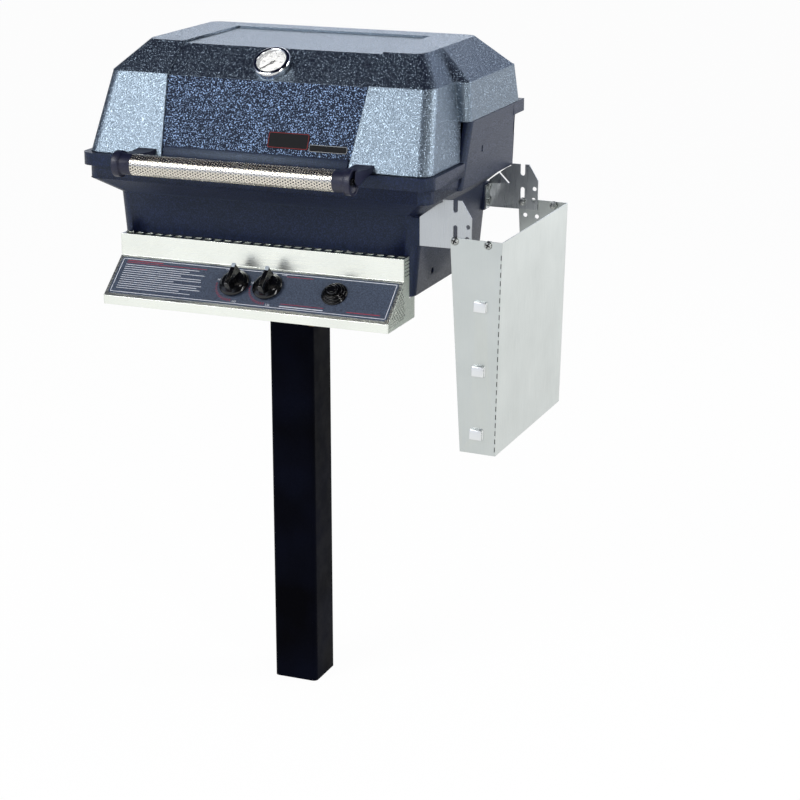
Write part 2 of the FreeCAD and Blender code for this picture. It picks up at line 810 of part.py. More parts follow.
def lid_lug(side, sign):
    """A cast lug that the hinge pin runs through, with a heel that stops the open lid on the rear rim."""
    low = sign * d.hinge_across - lug_half
    root = box("lug_root", (low, d.lid_rear_back - 7, hinge_up - 6), (low + d.lug_width, d.hinge_back, hinge_up + 8))
    heel = box("lug_heel", (low, d.hinge_back, hinge_up), (low + d.lug_width, d.hinge_back + d.hinge_rise - 0.3,
                                                            hinge_up + 8))
    eye = rod("lug_eye", (low, d.hinge_back, hinge_up), "+x", d.lug_radius, d.lug_width)
    bore = rod("lug_bore", (low - 1, d.hinge_back, hinge_up), "+x", d.hinge_radius + d.hinge_play, d.lug_width + 2)
    return cut("lug_" + side, fuse("lug_blank", root, heel, eye), bore)


def slope_point(across, along, out):
    """A point on the lid's slope: across, down from its top edge, and out from its face."""
    forward = along * slope_run / slope_length + out * d.lid_slope_height / slope_length
    down = along * d.lid_slope_height / slope_length - out * slope_run / slope_length
    return size(across), -(d.lid_top_front + forward), lid_top - down


def on_slope(item, out=0):
    """Stand a piece that was made upright on the thermometer's seat."""
    return place(item, slope_point(0, d.dial_along, out - d.recess_depth), (1, 0, 0), slope_tilt)


stem_bore = on_slope(rod("stem_bore", (0, 0, 0), "+z", d.stem_radius + SEAT, 20), size(-10))
piece("lid", cut("lid", fuse("lid_full", lid_shell, *both_sides(lid_lug)), stem_bore))

# Handle
handle_up = rim - d.handle_drop
handle_length = d.handle_half * 2
handle_start = (-d.handle_half, -d.handle_front, handle_up)
piece("handle_tube", cut("handle_tube", rod("tube_outside", handle_start, "+x", d.handle_radius, handle_length),
                         rod("tube_inside", handle_start, "+x", d.handle_radius - d.handle_wall, handle_length)))
rod_reach = d.handle_half + d.handle_end - 4
piece("handle_rod", rod("handle_rod", (-rod_reach, -d.handle_front, handle_up), "+x", d.handle_rod_radius,
                        rod_reach * 2))


def lid_front_at(up):
    """Depth of the lid's front face at a height."""
    return (up - lid_low) * lid_run / d.lid_skirt_height - d.lid_base_front


def handle_end(side, sign):
    """An end casting: a sleeve in line with the tube, an end disc and an arm back to the lid."""
    direction = "+x" if sign > 0 else "-x"
    start = (sign * d.handle_half, -d.handle_front, handle_up)
    disc_start = (sign * (d.handle_half + d.handle_end), -d.handle_front, handle_up)
    hub = rod("hub_" + side, start, direction, d.handle_radius, d.handle_end + 1)
    disc = rod("disc_" + side, disc_start, direction, d.handle_disc_radius, d.handle_disc)
    low = d.handle_half if sign > 0 else -d.handle_half - d.handle_arm
    arm = prism("arm_" + side, "x", low, low + d.handle_arm, (
        (lid_front_at(lid_low + 1), lid_low + 1), (lid_front_at(lid_low + 13), lid_low + 13),
        (-d.lip_front - 8, lid_low + 11), (-d.handle_front + 2, handle_up + d.handle_radius - 1),
        (-d.handle_front, handle_up), (-d.handle_front + 14, handle_up - 10), (-d.lip_front - 5, lid_low + 1)))
    dish = rod("dish_" + side, (sign * (d.handle_half + d.handle_end + d.handle_disc - d.handle_dish),
                                -d.handle_front, handle_up), direction, d.handle_disc_radius - 4, d.handle_dish + 1)
    blank = fuse("end_blank_" + side, hub, disc, arm)
    seat = rod("rod_seat_" + side, (sign * (d.handle_half - 1), -d.handle_front, handle_up), direction,
               d.handle_rod_radius + SEAT, d.handle_end - 3)
    bore = rod("end_bore_" + side, start, direction, 3 + SEAT, d.handle_end + d.handle_disc + 1)
    return piece("handle_end_" + side, cut("handle_end_" + side, blank, dish, seat, bore))


both_sides(handle_end)
handle_reach = d.handle_half + d.handle_end + d.handle_disc - d.handle_dish
piece("handle_bolts", group("handle_bolts", *both_sides(lambda side, sign: bolt(
    "handle_bolt_" + side, (sign * handle_reach, -d.handle_front, handle_up), "-x" if sign > 0 else "+x",
    3, d.handle_disc - d.handle_dish + 4, 7, 4))))

# Thermometer, standing on the lid's slope
rim_radius = d.dial_radius + d.dial_rim
dial_floor = d.dial_case - 6
piece("thermometer_case", on_slope(turned("thermometer_case", (
    (size(0), size(0)), (rim_radius - 1, size(0)), (rim_radius, size(2)), (rim_radius, d.dial_case - 4),
    (rim_radius - 2, d.dial_case), (d.dial_radius + 0.5, d.dial_case), (d.dial_radius + 0.5, dial_floor),
    (size(0), dial_floor)))))
dial = on_slope(rod("dial_disc", (0, 0, 0), "+z", d.dial_radius, 1.2), dial_floor)
dial_post = on_slope(rod("dial_post", (0, 0, 0), "+z", 1.2, 3), dial_floor)
piece("thermometer_dial", fuse("thermometer_dial", dial, dial_post))
NEEDLE_TURN = 135
needle_body = prism("needle", "z", size(0), size(0.6), (
    (size(-1.6), size(-7)), (size(1.6), size(-7)), (size(0.5), d.dial_radius - 5), (size(-0.5), d.dial_radius - 5)))
needle_hub = rod("needle_hub", (0, 0, 0), "+z", 3, 0.6)
needle_eye = rod("needle_eye", (0, 0, 0), "+z", 1.25, 0.6)
needle_flat = cut("needle_flat", fuse("needle_blank", needle_body, needle_hub), needle_eye)
place(needle_flat, (0, 0, 0), (0, 0, 1), NEEDLE_TURN)
needle = group("thermometer_needle", needle_flat)
piece("thermometer_needle", on_slope(needle, dial_floor + 1.8))
piece("thermometer_glass", on_slope(rod("thermometer_glass", (0, 0, 0), "+z", d.dial_radius + 0.4, 1),
                                    d.dial_case - 1.8))
piece("thermometer_stem", on_slope(rod("thermometer_stem", (0, 0, 0), "+z", d.stem_radius, d.stem_length),
                                   -d.stem_length))
nut_low = -d.lid_wall - 6
nut_blank = on_slope(hexagon("nut_blank", (0, 0, 0), "+z", 8, 5), nut_low)
nut_bore = on_slope(rod("nut_bore", (0, 0, 0), "+z", d.stem_radius + SEAT / 5, 7), nut_low - 1)
piece("thermometer_nut", cut("thermometer_nut", nut_blank, nut_bore))

# Badge plates on the sunk front face
front_tilt = slope_of(lid_run, d.lid_skirt_height)


def badge(name, across, up, width, height):
    """A blank plate that lies on the sunk part of the front face."""
    plate_body = box(name, (0, 0, 0), (width, height, d.badge_thickness))
    depth = lid_front_at(lid_low + up) + d.recess_depth * front_length / d.lid_skirt_height
    return piece(name, place(plate_body, (size(across), depth, lid_low + up), (1, 0, 0), front_tilt))


badge("lid_badge", d.badge_across, 27, d.badge_width, d.badge_height)
badge("lid_name_plate", d.badge_across + d.badge_width + 1, 26, d.name_plate_width, d.name_plate_height)

# Control panel
panel_top = floor_low + d.panel_rise
bend_up = panel_top - d.panel_face
panel_length = length_of(d.panel_run, d.panel_drop)
panel_tilt = slope_of(d.panel_run, d.panel_drop)
fold_shift = d.panel_sheet * (panel_length - d.panel_drop) / d.panel_run
panel_nose = d.panel_front + d.panel_run
lip_up = bend_up - d.panel_drop
lip_low = lip_up - d.panel_lip
sheet_in = d.panel_sheet


def panel_point(across, along, out):
    """A point on the slanted panel: across, down from its bend, and out from its face."""
    forward = along * d.panel_run / panel_length + out * d.panel_drop / panel_length
    down = along * d.panel_drop / panel_length - out * d.panel_run / panel_length
    return size(across), -(d.panel_front + forward), bend_up - down


def on_panel(item, across, out=0):
    """Stand a piece that was made upright on the row of controls."""
    return place(item, panel_point(across, d.control_along, size(out)), (1, 0, 0), panel_tilt)


knob_half = d.knob_spacing / 2
panel_blank = prism("panel_blank", "x", -d.panel_half, d.panel_half, (
    (-d.wall_front, panel_top), (-d.panel_front, panel_top), (-d.panel_front, bend_up),
    (-panel_nose, lip_up), (-panel_nose, lip_low), (-panel_nose + 8, lip_low),
    (-panel_nose + 8, lip_low + sheet_in), (-panel_nose + sheet_in, lip_low + sheet_in),
    (-panel_nose + sheet_in, lip_up - fold_shift), (-d.panel_front + sheet_in, bend_up - fold_shift),
    (-d.panel_front + sheet_in, panel_top - sheet_in), (-d.wall_front - sheet_in, panel_top - sheet_in),
    (-d.wall_front - sheet_in, panel_top - d.panel_flange), (-d.wall_front, panel_top - d.panel_flange)))
stem_holes = [on_panel(rod("panel_stem_hole", (0, 0, 0), "+z", 6, 12), sign * knob_half, -8) for sign in (-1, 1)]
igniter_hole = on_panel(rod("panel_igniter_hole", (0, 0, 0), "+z", 12.5, 12), d.igniter_across, -8)
VENTS = 28
vent_pitch = d.panel_half * 2 / VENTS
vents = [box("vent", (vent_pitch * index - d.panel_half + 4, -d.panel_front + 8, panel_top - 2),
             (vent_pitch * (index + 1) - d.panel_half - 4, -d.wall_front - 8, panel_top + 1))
         for index in range(VENTS)]
flange_holes = [rod("flange_hole", (x, -d.wall_front - 3, panel_screw_up), "+y", 2 + SEAT, 6)
                for x in panel_screws]
piece("control_panel", cut("control_panel", panel_blank, *stem_holes, igniter_hole, *vents, *flange_holes))
overlay_start = panel_point(-d.overlay_half, d.overlay_top + d.overlay_height, size(0))
overlay_blank = place(box("overlay_blank", (0, 0, 0), (d.overlay_half * 2, d.overlay_height, d.overlay_thickness)),
                      overlay_start, (1, 0, 0), panel_tilt)
overlay_holes = [on_panel(rod("overlay_hole", (0, 0, 0), "+z", 6, 12), sign * knob_half, -8) for sign in (-1, 1)]
overlay_igniter = on_panel(rod("overlay_igniter", (0, 0, 0), "+z", 12.5, 12), d.igniter_across, -8)
piece("panel_overlay", cut("panel_overlay", overlay_blank, *overlay_holes, overlay_igniter))


def panel_end(side, sign):
    """The sheet that closes one end of the panel."""
    low = d.panel_half if sign > 0 else -d.panel_half - sheet_in
    return piece("panel_end_" + side, prism("panel_end_" + side, "x", low, low + sheet_in, (
        (-d.wall_front - sheet_in, panel_top), (-d.panel_front, panel_top), (-d.panel_front, bend_up),
        (-panel_nose, lip_up), (-panel_nose, lip_low), (-d.end_sheet_back, lip_low),
        (-d.end_sheet_back, floor_low - 1), (-d.wall_front - sheet_in, floor_low - 1))))


both_sides(panel_end)
piece("panel_screws", group("panel_screws", *[fuse(
    "panel_screw", rod("panel_screw_shank", (x, -d.wall_front - sheet_in, panel_screw_up), "+y", 2, 6),
    rod("panel_screw_head", (x, -d.wall_front - sheet_in, panel_screw_up), "-y", 4, 2.2))
    for x in panel_screws]))

# Knobs, valves and manifold
knob_low = d.overlay_thickness + d.knob_lift
knob_top = knob_low + d.knob_skirt
grip_top = knob_top + d.knob_grip
spud_start = panel_point(0, d.control_along + d.spud_offset, -(d.valve_top + d.valve_depth) / 2)
SPUD_LENGTH = 34


def gas_control(side, sign):
    """One valve with its stem, spring seat, knob and pointer."""
    across = sign * knob_half
    half = d.valve_width / 2
    block = on_panel(box("valve_block", (0, 0, 0), (d.valve_width, d.valve_width, d.valve_depth - 16)), across)
    corner = panel_point(across - half, d.control_along + half, -d.valve_depth)
    place(block, corner, (1, 0, 0), panel_tilt)
    bonnet = on_panel(rod("bonnet", (0, 0, 0), "+z", 10, 16 + ROOT - sheet_in), across, -size(16) - ROOT)
    nipple = on_panel(rod("nipple", (0, 0, 0), "+z", d.spud_radius, 4 + ROOT), across, -d.valve_depth - 4)
    spud = rod("spud", (across, spud_start[1], spud_start[2]), "+y", d.spud_radius, SPUD_LENGTH)
    bore = on_panel(rod("stem_bore_" + side, (0, 0, 0), "+z", d.valve_stem_radius + PLAY, 24), across, size(-23))
    spring_room = on_panel(rod("spring_room_" + side, (0, 0, 0), "+z", 8 + PLAY, 12), across, size(-12))
    piece("valve_" + side, cut("valve_" + side, fuse("valve_blank", block, bonnet, nipple, spud), bore, spring_room))
    stem_low = size(-18)
    piece("valve_stem_" + side, on_panel(rod("valve_stem", (0, 0, 0), "+z", d.valve_stem_radius,
                                             grip_top - 4 - stem_low), across, stem_low))
    washer = on_panel(rod("washer", (0, 0, 0), "+z", 8, 1.2), across, size(-4))
    washer_eye = on_panel(rod("washer_eye", (0, 0, 0), "+z", d.valve_stem_radius + PLAY, 3), across, size(-5))
    piece("spring_seat_" + side, cut("spring_seat_" + side, washer, washer_eye))
    skirt = turned("skirt_" + side, (
        (size(0), knob_low), (d.knob_radius - 1, knob_low), (d.knob_radius, knob_low + 1),
        (d.knob_radius, knob_low + 3), (d.knob_radius - 6, knob_top), (size(0), knob_top)))
    grip = box("grip_" + side, (-6.5, 3 - d.knob_radius, knob_top - 3), (6.5, d.knob_radius - 3, grip_top))
    eye = rod("knob_eye", (0, 0, knob_low - 1), "+z", d.valve_stem_radius + PLAY, grip_top - 3 - knob_low)
    knob = cut("knob_" + side, fuse("knob_blank", skirt, grip), eye)
    piece("knob_" + side, on_panel(knob, across))
    pointer = prism("pointer_" + side, "z", grip_top, grip_top + 1, (
        (size(-4), d.knob_radius - 14), (size(4), d.knob_radius - 14), (size(0), d.knob_radius - 4)))
    piece("knob_pointer_" + side, on_panel(pointer, across))


both_sides(gas_control)
pipe_centre = panel_point(0, d.control_along, -d.valve_depth - d.manifold_radius)
pipe_blank = rod("pipe_blank", (-d.manifold_left, pipe_centre[1], pipe_centre[2]), "+x", d.manifold_radius,
                 d.manifold_left + d.manifold_right)
pipe_block = box("pipe_block", (d.manifold_right - 2, pipe_centre[1] - 11, pipe_centre[2] - 11),
                 (d.manifold_right + 20, pipe_centre[1] + 11, pipe_centre[2] + 11))
pipe_bore = rod("pipe_bore", (-d.manifold_left + 6, pipe_centre[1], pipe_centre[2]), "+x", d.manifold_radius - 2,
                d.manifold_left + d.manifold_right)
nipple_bores = [on_panel(rod("nipple_bore", (0, 0, 0), "+z", d.spud_radius + SEAT / 5, 8), sign * knob_half,
                         -d.valve_depth - 6) for sign in (-1, 1)]
inlet_at = (d.manifold_right + 9, pipe_centre[1], pipe_centre[2] - 11)
feed_bore = rod("feed_bore", (inlet_at[0], inlet_at[1], inlet_at[2] - 1), "+z", 4.5, 13)
piece("manifold", cut("manifold", fuse("manifold_blank", pipe_blank, pipe_block), pipe_bore, feed_bore,
                      *nipple_bores))
inlet_hex = hexagon("inlet_hex", inlet_at, "-z", 11, 8)
inlet_pin = rod("inlet_pin", (inlet_at[0], inlet_at[1], inlet_at[2] - 8), "-z", d.inlet_radius, d.inlet_length)
inlet_bore = rod("inlet_bore", (inlet_at[0], inlet_at[1], inlet_at[2] + 1), "-z", 4.5, 30)
piece("gas_inlet", cut("gas_inlet", fuse("inlet_blank", inlet_hex, inlet_pin), inlet_bore))

# Igniter
piece("igniter_bezel", on_panel(turned("igniter_bezel", (
    (d.button_radius + 0.4, d.overlay_thickness), (d.igniter_radius, d.overlay_thickness),
    (d.igniter_radius, d.overlay_thickness + 2), (d.igniter_radius - 3, d.overlay_thickness + 6),
    (d.igniter_radius - 6, d.overlay_thickness + 7), (d.igniter_radius - 8, d.overlay_thickness + 12),
    (d.button_radius + 0.4, d.overlay_thickness + 12))), d.igniter_across))
button_low = d.overlay_thickness + 7
piece("igniter_button", on_panel(fuse(
    "igniter_button", rod("button_cap", (0, 0, button_low), "+z", d.button_radius, 11),
    rod("button_plunger", (0, 0, -12), "+z", 5, button_low + 14)), d.igniter_across))
piece("igniter_body", on_panel(cut(
    "igniter_body", rod("igniter_can", (0, 0, -46), "+z", 12, 46 + d.overlay_thickness),
    rod("igniter_well", (0, 0, -24), "+z", 5 + PLAY, 30)), d.igniter_across))
electrode_at = (size(75), -d.venturi_back)
ceramic = rod("ceramic", (*electrode_at, floor_low - 8), "+z", 4, d.floor_thickness + 40)
spark_tip = rod("spark_tip", (*electrode_at, floor_top + 30), "+z", 1.2, 14)
piece("igniter_electrode", fuse("igniter_electrode", ceramic, spark_tip))


def tube_along(name, route, radius):
    """A round tube on straight runs joined by tangent arcs through a hand-set route."""
    corners = [FreeCAD.Vector(*[size(value).number for value in point]) for point in route]
    edges = []
    last = corners[0]
    for before, corner, after in zip(corners, corners[1:], corners[2:]):
        back = (before - corner)
        ahead = (after - corner)
        reach = 0.45 * min(back.Length, ahead.Length)
        start = corner + back.normalize() * reach
        end = corner + ahead.normalize() * reach
        half_turn = (math.pi - back.getAngle(ahead)) / 2
        bend = reach / math.tan(half_turn)
        middle_line = (back + ahead).normalize()
        middle = corner + middle_line * (math.hypot(reach, bend) - bend)
        edges.append(Part.LineSegment(last, start).toShape())
        edges.append(Part.Arc(start, middle, end).toShape())
        last = end
    edges.append(Part.LineSegment(last, corners[-1]).toShape())
    path = Part.Wire(edges)
    heading = (corners[1] - corners[0])
    ring = Part.Wire([Part.makeCircle(size(radius).number, corners[0], heading)])
    item = doc.addObject("Part::Feature", name)
    item.Shape = path.makePipeShell([ring], True, False)
    expected = math.pi * size(radius).number ** 2 * path.Length
    print(name, "length", round(path.Length, 1), "volume ratio", round(item.Shape.Volume / expected, 4))
    return item


igniter_tail = panel_point(d.igniter_across, d.control_along, size(-46))
tail_out = panel_point(d.igniter_across, d.control_along, size(-58))
piece("igniter_wire", tube_along("igniter_wire", (
    igniter_tail, tail_out, (size(125), -d.wall_front + 10, floor_low - 30),
    (size(90), -d.venturi_back - 14, floor_low - 28), (electrode_at[0], electrode_at[1], floor_low - 22),
    (electrode_at[0], electrode_at[1], floor_low - 8)), size(1.8)))

# Burners
burner_low = floor_top + d.burner_rise
burner_top = burner_low + d.burner_height
venturi_up = spud_start[2]
venturi_mouth = spud_start[1] + SPUD_LENGTH - 4
bend_front = -d.venturi_back - d.venturi_bend


def venturi_run(name, across, radius):
    """Level tube, quarter bend and upright tube."""
    level = rod(name + "_level", (across, venturi_mouth, venturi_up), "+y", radius, bend_front - venturi_mouth)
    bend = doc.addObject("Part::Torus", name + "_bend")
    bind(bend, "Radius1", d.venturi_bend)
    bind(bend, "Radius2", radius)
    bend.Angle3 = 90
    turn = FreeCAD.Rotation(FreeCAD.Vector(0, 1, 0), FreeCAD.Vector(0, 0, -1), FreeCAD.Vector(-1, 0, 0), "YXZ")
    bend.Placement = FreeCAD.Placement(FreeCAD.Vector(), turn)
    for letter, measure in zip("xyz", (size(across), bend_front, venturi_up + d.venturi_bend)):
        bind(bend, f"Placement.Base.{letter}", measure)
    upright_low = venturi_up + d.venturi_bend
    upright = rod(name + "_upright", (across, -d.venturi_back, upright_low), "+z", radius, burner_low - upright_low)
    return fuse(name, level, bend, upright)


PORTS = 12


def burner(side, sign):
    """A hollow ring of square tube with flame ports, on legs, and the tube that feeds it."""
    across = sign * knob_half
    inner = venturi_run("venturi_inside_" + side, across, d.venturi_radius - d.venturi_wall)
    outer = venturi_run("venturi_outside_" + side, across, d.venturi_radius)
    piece("venturi_" + side, cut("venturi_" + side, outer, inner))
    left = d.burner_inner if sign > 0 else -d.burner_inner - d.burner_width
    right = left + d.burner_width
    front = size(0) - d.burner_front
    back = front + d.burner_length

    def ring(name, inset):
        """The square tube's outside, or its inside when inset by the skin."""
        bar = d.burner_bar - inset
        whole = box(name + "_whole", (left + inset, front + inset, burner_low + inset),
                    (right - inset, back - inset, burner_top - inset))
        hole = box(name + "_hole", (left + bar, front + bar, burner_low - 1),
                   (right - bar, back - bar, burner_top + 1))
        return cut(name, whole, hole)

    pitch = d.burner_length / (PORTS + 3)
    ports = [box("port", (left - 1, front + pitch * (index + 2), burner_top - 9),
                 (right + 1, front + pitch * (index + 2) + 2.5, burner_top - 6)) for index in range(PORTS)]
    throat = rod("throat", (across, -d.venturi_back, burner_low - 1), "+z", d.venturi_radius - d.venturi_wall - 1, 6)
    legs = [rod("leg", (x, y, floor_top), "+z", 5, d.burner_rise + 0.5)
            for x in (left + 32, right - 32) for y in (front + 12, back - 12)]
    hollow = cut("hollow_" + side, ring("burner_outside", size(0)), ring("burner_inside", d.burner_skin))
    return piece("burner_" + side, cut("burner_" + side, fuse("burner_legs", hollow, *legs), throat, *ports))


both_sides(burner)

# Briquette grate and briquettes
grate_half = d.bottom_half - wall - d.grate_gap
grate_rails = [box("grate_rail", (-grate_half, depth - 4, grate_up), (grate_half, depth + d.grate_bar - 4,
                                                                      grate_up + d.grate_bar))
               for depth in (-d.lug_front, d.lug_back)]
GRATE_BARS = 19
grate_pitch = (grate_half * 2 - d.grate_bar) / (GRATE_BARS - 1)
grate_bars = [box("grate_bar", (grate_pitch * index - grate_half, -d.grate_front, grate_up),
                  (grate_pitch * index - grate_half + d.grate_bar, d.grate_back, grate_up + d.grate_bar))
              for index in range(GRATE_BARS)]
piece("briquette_grate", fuse("briquette_grate", *grate_rails, *grate_bars))
briquettes = []
for column in range(8):
    for line in range(4):
        block = doc.addObject("Part::Wedge", "briquette")
        for prop, measure in (("Xmin", 0), ("Zmin", 0), ("Ymin", 0), ("Xmax", d.briquette_size),
                              ("Zmax", d.briquette_size), ("Ymax", d.briquette_height), ("X2min", 12),
                              ("Z2min", 12), ("X2max", d.briquette_size - 12), ("Z2max", d.briquette_size - 12)):
            bind(block, prop, measure)
        corner = ((d.briquette_size + 8) * (column - 4) + 4,
                  (d.grate_back - d.grate_front) / 2 + (d.briquette_size + 8) * (line - 1) - 4,
                  grate_up + d.grate_bar)
        briquettes.append(place(block, corner, (1, 0, 0), 90))
piece("briquettes", group("briquettes", *briquettes))

# Cooking grids
grid_front = d.grid_ledge - d.collar_front - d.grid_lap
grid_back = d.collar_back - d.grid_ledge + d.grid_lap
GRID_BARS = 14


def cooking_grid(side, sign):
    """A frame with bars that run front to back; it rests on the firebox's ledge."""
    middle = sign * (d.grid_half + 2)
    low = (middle - d.grid_half, grid_front, collar_low)
    high = (middle + d.grid_half, grid_back, collar_low + d.grid_height)
    whole = box("grid_whole", low, high)
    inside = box("grid_inside", (low[0] + d.grid_bar, grid_front + d.grid_bar, collar_low - 1),
                 (high[0] - d.grid_bar, grid_back - d.grid_bar, collar_low + d.grid_height + 1))
    pitch = (d.grid_half * 2 - d.grid_bar) / (GRID_BARS + 1)
    bars = [box("grid_bar", (low[0] + pitch * (index + 1), grid_front + 2, collar_low + 1),
                (low[0] + pitch * (index + 1) + d.grid_bar * 0.75, grid_back - 2, collar_low + d.grid_height))
            for index in range(GRID_BARS)]
    cross = box("grid_cross", (low[0] + 2, 15, collar_low), (high[0] - 2, 23, collar_low + 5))
    return piece("cooking_grid_" + side, fuse("cooking_grid_" + side, cut("grid_frame", whole, inside), cross,
                                              *bars))


both_sides(cooking_grid)

# Warming rack on its lugs
rack_half = rack_inner + d.rack_overhang + ROOT
rack_level = rack_up + d.rack_wire
rack_rails = [rod("rack_rail", (-rack_half, depth, rack_level), "+x", d.rack_wire, rack_half * 2)
              for depth in (d.rack_front, d.rack_back)]
RACK_WIRES = 21
rack_pitch = (rack_half - 14) * 2 / (RACK_WIRES - 1)
rack_wires = [rod("rack_wire", (rack_pitch * index - rack_half + 14, d.rack_front - 7, rack_level), "+y",
                  d.rack_wire * 0.7, d.rack_back - d.rack_front + 14)
              for index in range(RACK_WIRES)]
piece("warming_rack", fuse("warming_rack", *rack_rails, *rack_wires))

# Grease cup hung under the drain
cup_rim = floor_low - 30
cup_low = cup_rim - d.cup_height
cup_wall = 1
cup_blank = cone("cup_blank", (0, d.drain_back, cup_low), "+z", d.cup_radius - 6, d.cup_radius, d.cup_height)
cup_hollow = cone("cup_hollow", (0, d.drain_back, cup_low + cup_wall), "+z", d.cup_radius - 6 - cup_wall,
                  d.cup_radius - cup_wall, d.cup_height)
cup_bead = doc.addObject("Part::Torus", "cup_bead")
bind(cup_bead, "Radius1", d.cup_radius)
bind(cup_bead, "Radius2", 1.5)
place(cup_bead, (size(0), d.drain_back, cup_rim))
piece("grease_cup", fuse("grease_cup", cut("cup_shell", cup_blank, cup_hollow), cup_bead))
WIRE = 1.5
hanger_half = d.cup_radius + 2
hanger_up = cup_rim - 1.5 * WIRE
hanger_sides = both_sides(lambda side, sign: rod(
    "hanger_side", (sign * (hanger_half + WIRE), d.drain_back, hanger_up), "+z", WIRE, floor_low - hanger_up))
hanger_ring = doc.addObject("Part::Torus", "hanger_ring")
bind(hanger_ring, "Radius1", hanger_half)
bind(hanger_ring, "Radius2", WIRE)
place(hanger_ring, (size(0), d.drain_back, hanger_up))
piece("grease_hanger", fuse("grease_hanger", *hanger_sides, hanger_ring))

# Shelf brackets
slot_low = pivot_up
slot_high = pivot_up + d.slot_travel


def shelf_bracket(name, low, flange_low, slanted_slit):
    """A plate with a flange for the firebox, a closed guide slot and an open-top seat slot."""
    high = low + d.bracket_sheet
    mid = d.pivot_across
    open_slot = d.slot_half + 0.5
    blank = prism(name + "_plate", "y", low, high, (
        (d.bracket_foot, bracket_low), (mid + 30, bracket_low), (mid + 30.5, slot_top_corner),
        (mid + 12.3, bracket_top), (d.rear_half - 4, bracket_top), (d.rear_half - 4, collar_low - 1),
        (mid - 32, collar_low - 5),
        (d.bracket_foot + 2, flare_low + 2), (d.bracket_foot, flare_low)),
        ((mid + 23.7, pivot_up + 26, 4), (mid + 22, pivot_up + 5, 4)))
    seat = fuse(name + "_seat", rod(name + "_seat_end", (mid, low - 1, seat_slot_up), "+y", open_slot, 4),
                box(name + "_seat_gap", (mid - open_slot, low - 1, seat_slot_up), (mid + open_slot, high + 1,
                                                                                bracket_top + 1)))
    guide = fuse(name + "_guide", rod(name + "_guide_low", (mid, low - 1, slot_low), "+y", d.slot_half, 4),
                 rod(name + "_guide_high", (mid, low - 1, slot_high), "+y", d.slot_half, 4),
                 box(name + "_guide_gap", (mid - d.slot_half, low - 1, slot_low), (mid + d.slot_half, high + 1,
                                                                                 slot_high)))
    flange = box(name + "_flange", (d.bracket_foot, flange_low, bracket_low),
                 (d.bracket_foot + d.bracket_sheet, flange_low + d.bracket_flange, flare_low - 6))
    holes = [rod(name + "_hole", (d.bracket_foot - 1, depth, up), "+x", 3 + SEAT, 6) for depth, up in bracket_screws]
    tools = [seat, guide, *holes]
    if slanted_slit:
        slit = box(name + "_slit", (0, 0, 0), (28, 6, 3))
        tools.append(place(slit, (mid - 48, low - 2, seat_slot_up - 2), (0, 1, 0), 45))
    return piece(name, cut(name, fuse(name + "_blank", blank, flange), *tools))


slot_top_corner = pivot_up + 41.5
front_low = size(0) - d.bracket_front
shelf_bracket("shelf_bracket_front", front_low, front_low, False)
back_low = d.bracket_back - d.bracket_sheet
shelf_bracket("shelf_bracket_rear", back_low, d.bracket_back - d.bracket_flange, True)
flange_outer = d.bracket_foot + d.bracket_sheet
piece("bracket_screws", group("bracket_screws", *[fuse(
    "bracket_screw", rod("bracket_screw_shank", (flange_outer, depth, up), "-x", 3, 12),
    rod("bracket_screw_head", (flange_outer, depth, up), "+x", 6, 3))
    for depth, up in bracket_screws]))

# Shelf, made upright about its pivot and then tilted as it hangs
plate_front_face = front_low - d.shelf_side_gap
plate_back_face = d.bracket_back + d.shelf_side_gap
shelf_front = plate_front_face - d.shelf_sheet
shelf_back = plate_back_face + d.shelf_sheet


def hang(item):
    """Put a shelf piece that was made about the pivot into its place."""
    return place(item, (d.pivot_across, size(0), pivot_up), (0, 1, 0), d.shelf_tilt)


def shelf_side(name, low, extra_holes):
    """One tapered side flange with its pivot and lock holes."""
    outline = ((-d.shelf_inner_top, d.shelf_top), (d.shelf_outer, d.shelf_top),
               (d.shelf_outer, d.shelf_top - d.shelf_length), (d.shelf_inner_bottom, d.shelf_top - d.shelf_length))
    circles = [(size(0), size(0), d.pivot_radius + d.pivot_play), (d.lock_across, size(-1), d.pivot_radius + SEAT)]
    return prism(name, "y", low, low + d.shelf_sheet, outline, circles + extra_holes)


shelf_web = box("shelf_web", (d.shelf_outer - d.shelf_sheet, shelf_front, d.shelf_top - d.shelf_length),
                (d.shelf_outer, shelf_back, d.shelf_top))
side_front = shelf_side("side_front", shelf_front, [])
side_back = shelf_side("side_back", plate_back_face, [(size(6), size(-25), 4), (size(29), size(-26), 4)])
HOOKS = 3
hook_pitch = (d.shelf_length - d.shelf_top - d.hook_margin - d.hook_first) / (HOOKS - 1)
hook_windows = []
hook_tabs = []
for index in range(HOOKS):
    hook_up = -d.hook_first - hook_pitch * index
    hook_windows.append(box("hook_window", (d.hook_across - 12, shelf_front - 1, hook_up - 9),
                            (d.hook_across + 12, shelf_front + 3, hook_up + 9)))
    tab = box("hook_tab", (d.hook_across - 11, shelf_front - 5, hook_up - 9.5),
              (d.hook_across + 11, shelf_front - 3.5, hook_up + 4))
    foot = box("hook_foot", (d.hook_across - 11, shelf_front - 5, hook_up - 9.5),
               (d.hook_across + 11, shelf_front + 1, hook_up - 8))
    hook_tabs.extend((tab, foot))
shelf_blank = cut("shelf_blank", fuse("shelf_sheets", shelf_web, side_front, side_back), *hook_windows)
piece("shelf_panel", hang(fuse("shelf_panel", shelf_blank, *hook_tabs)))


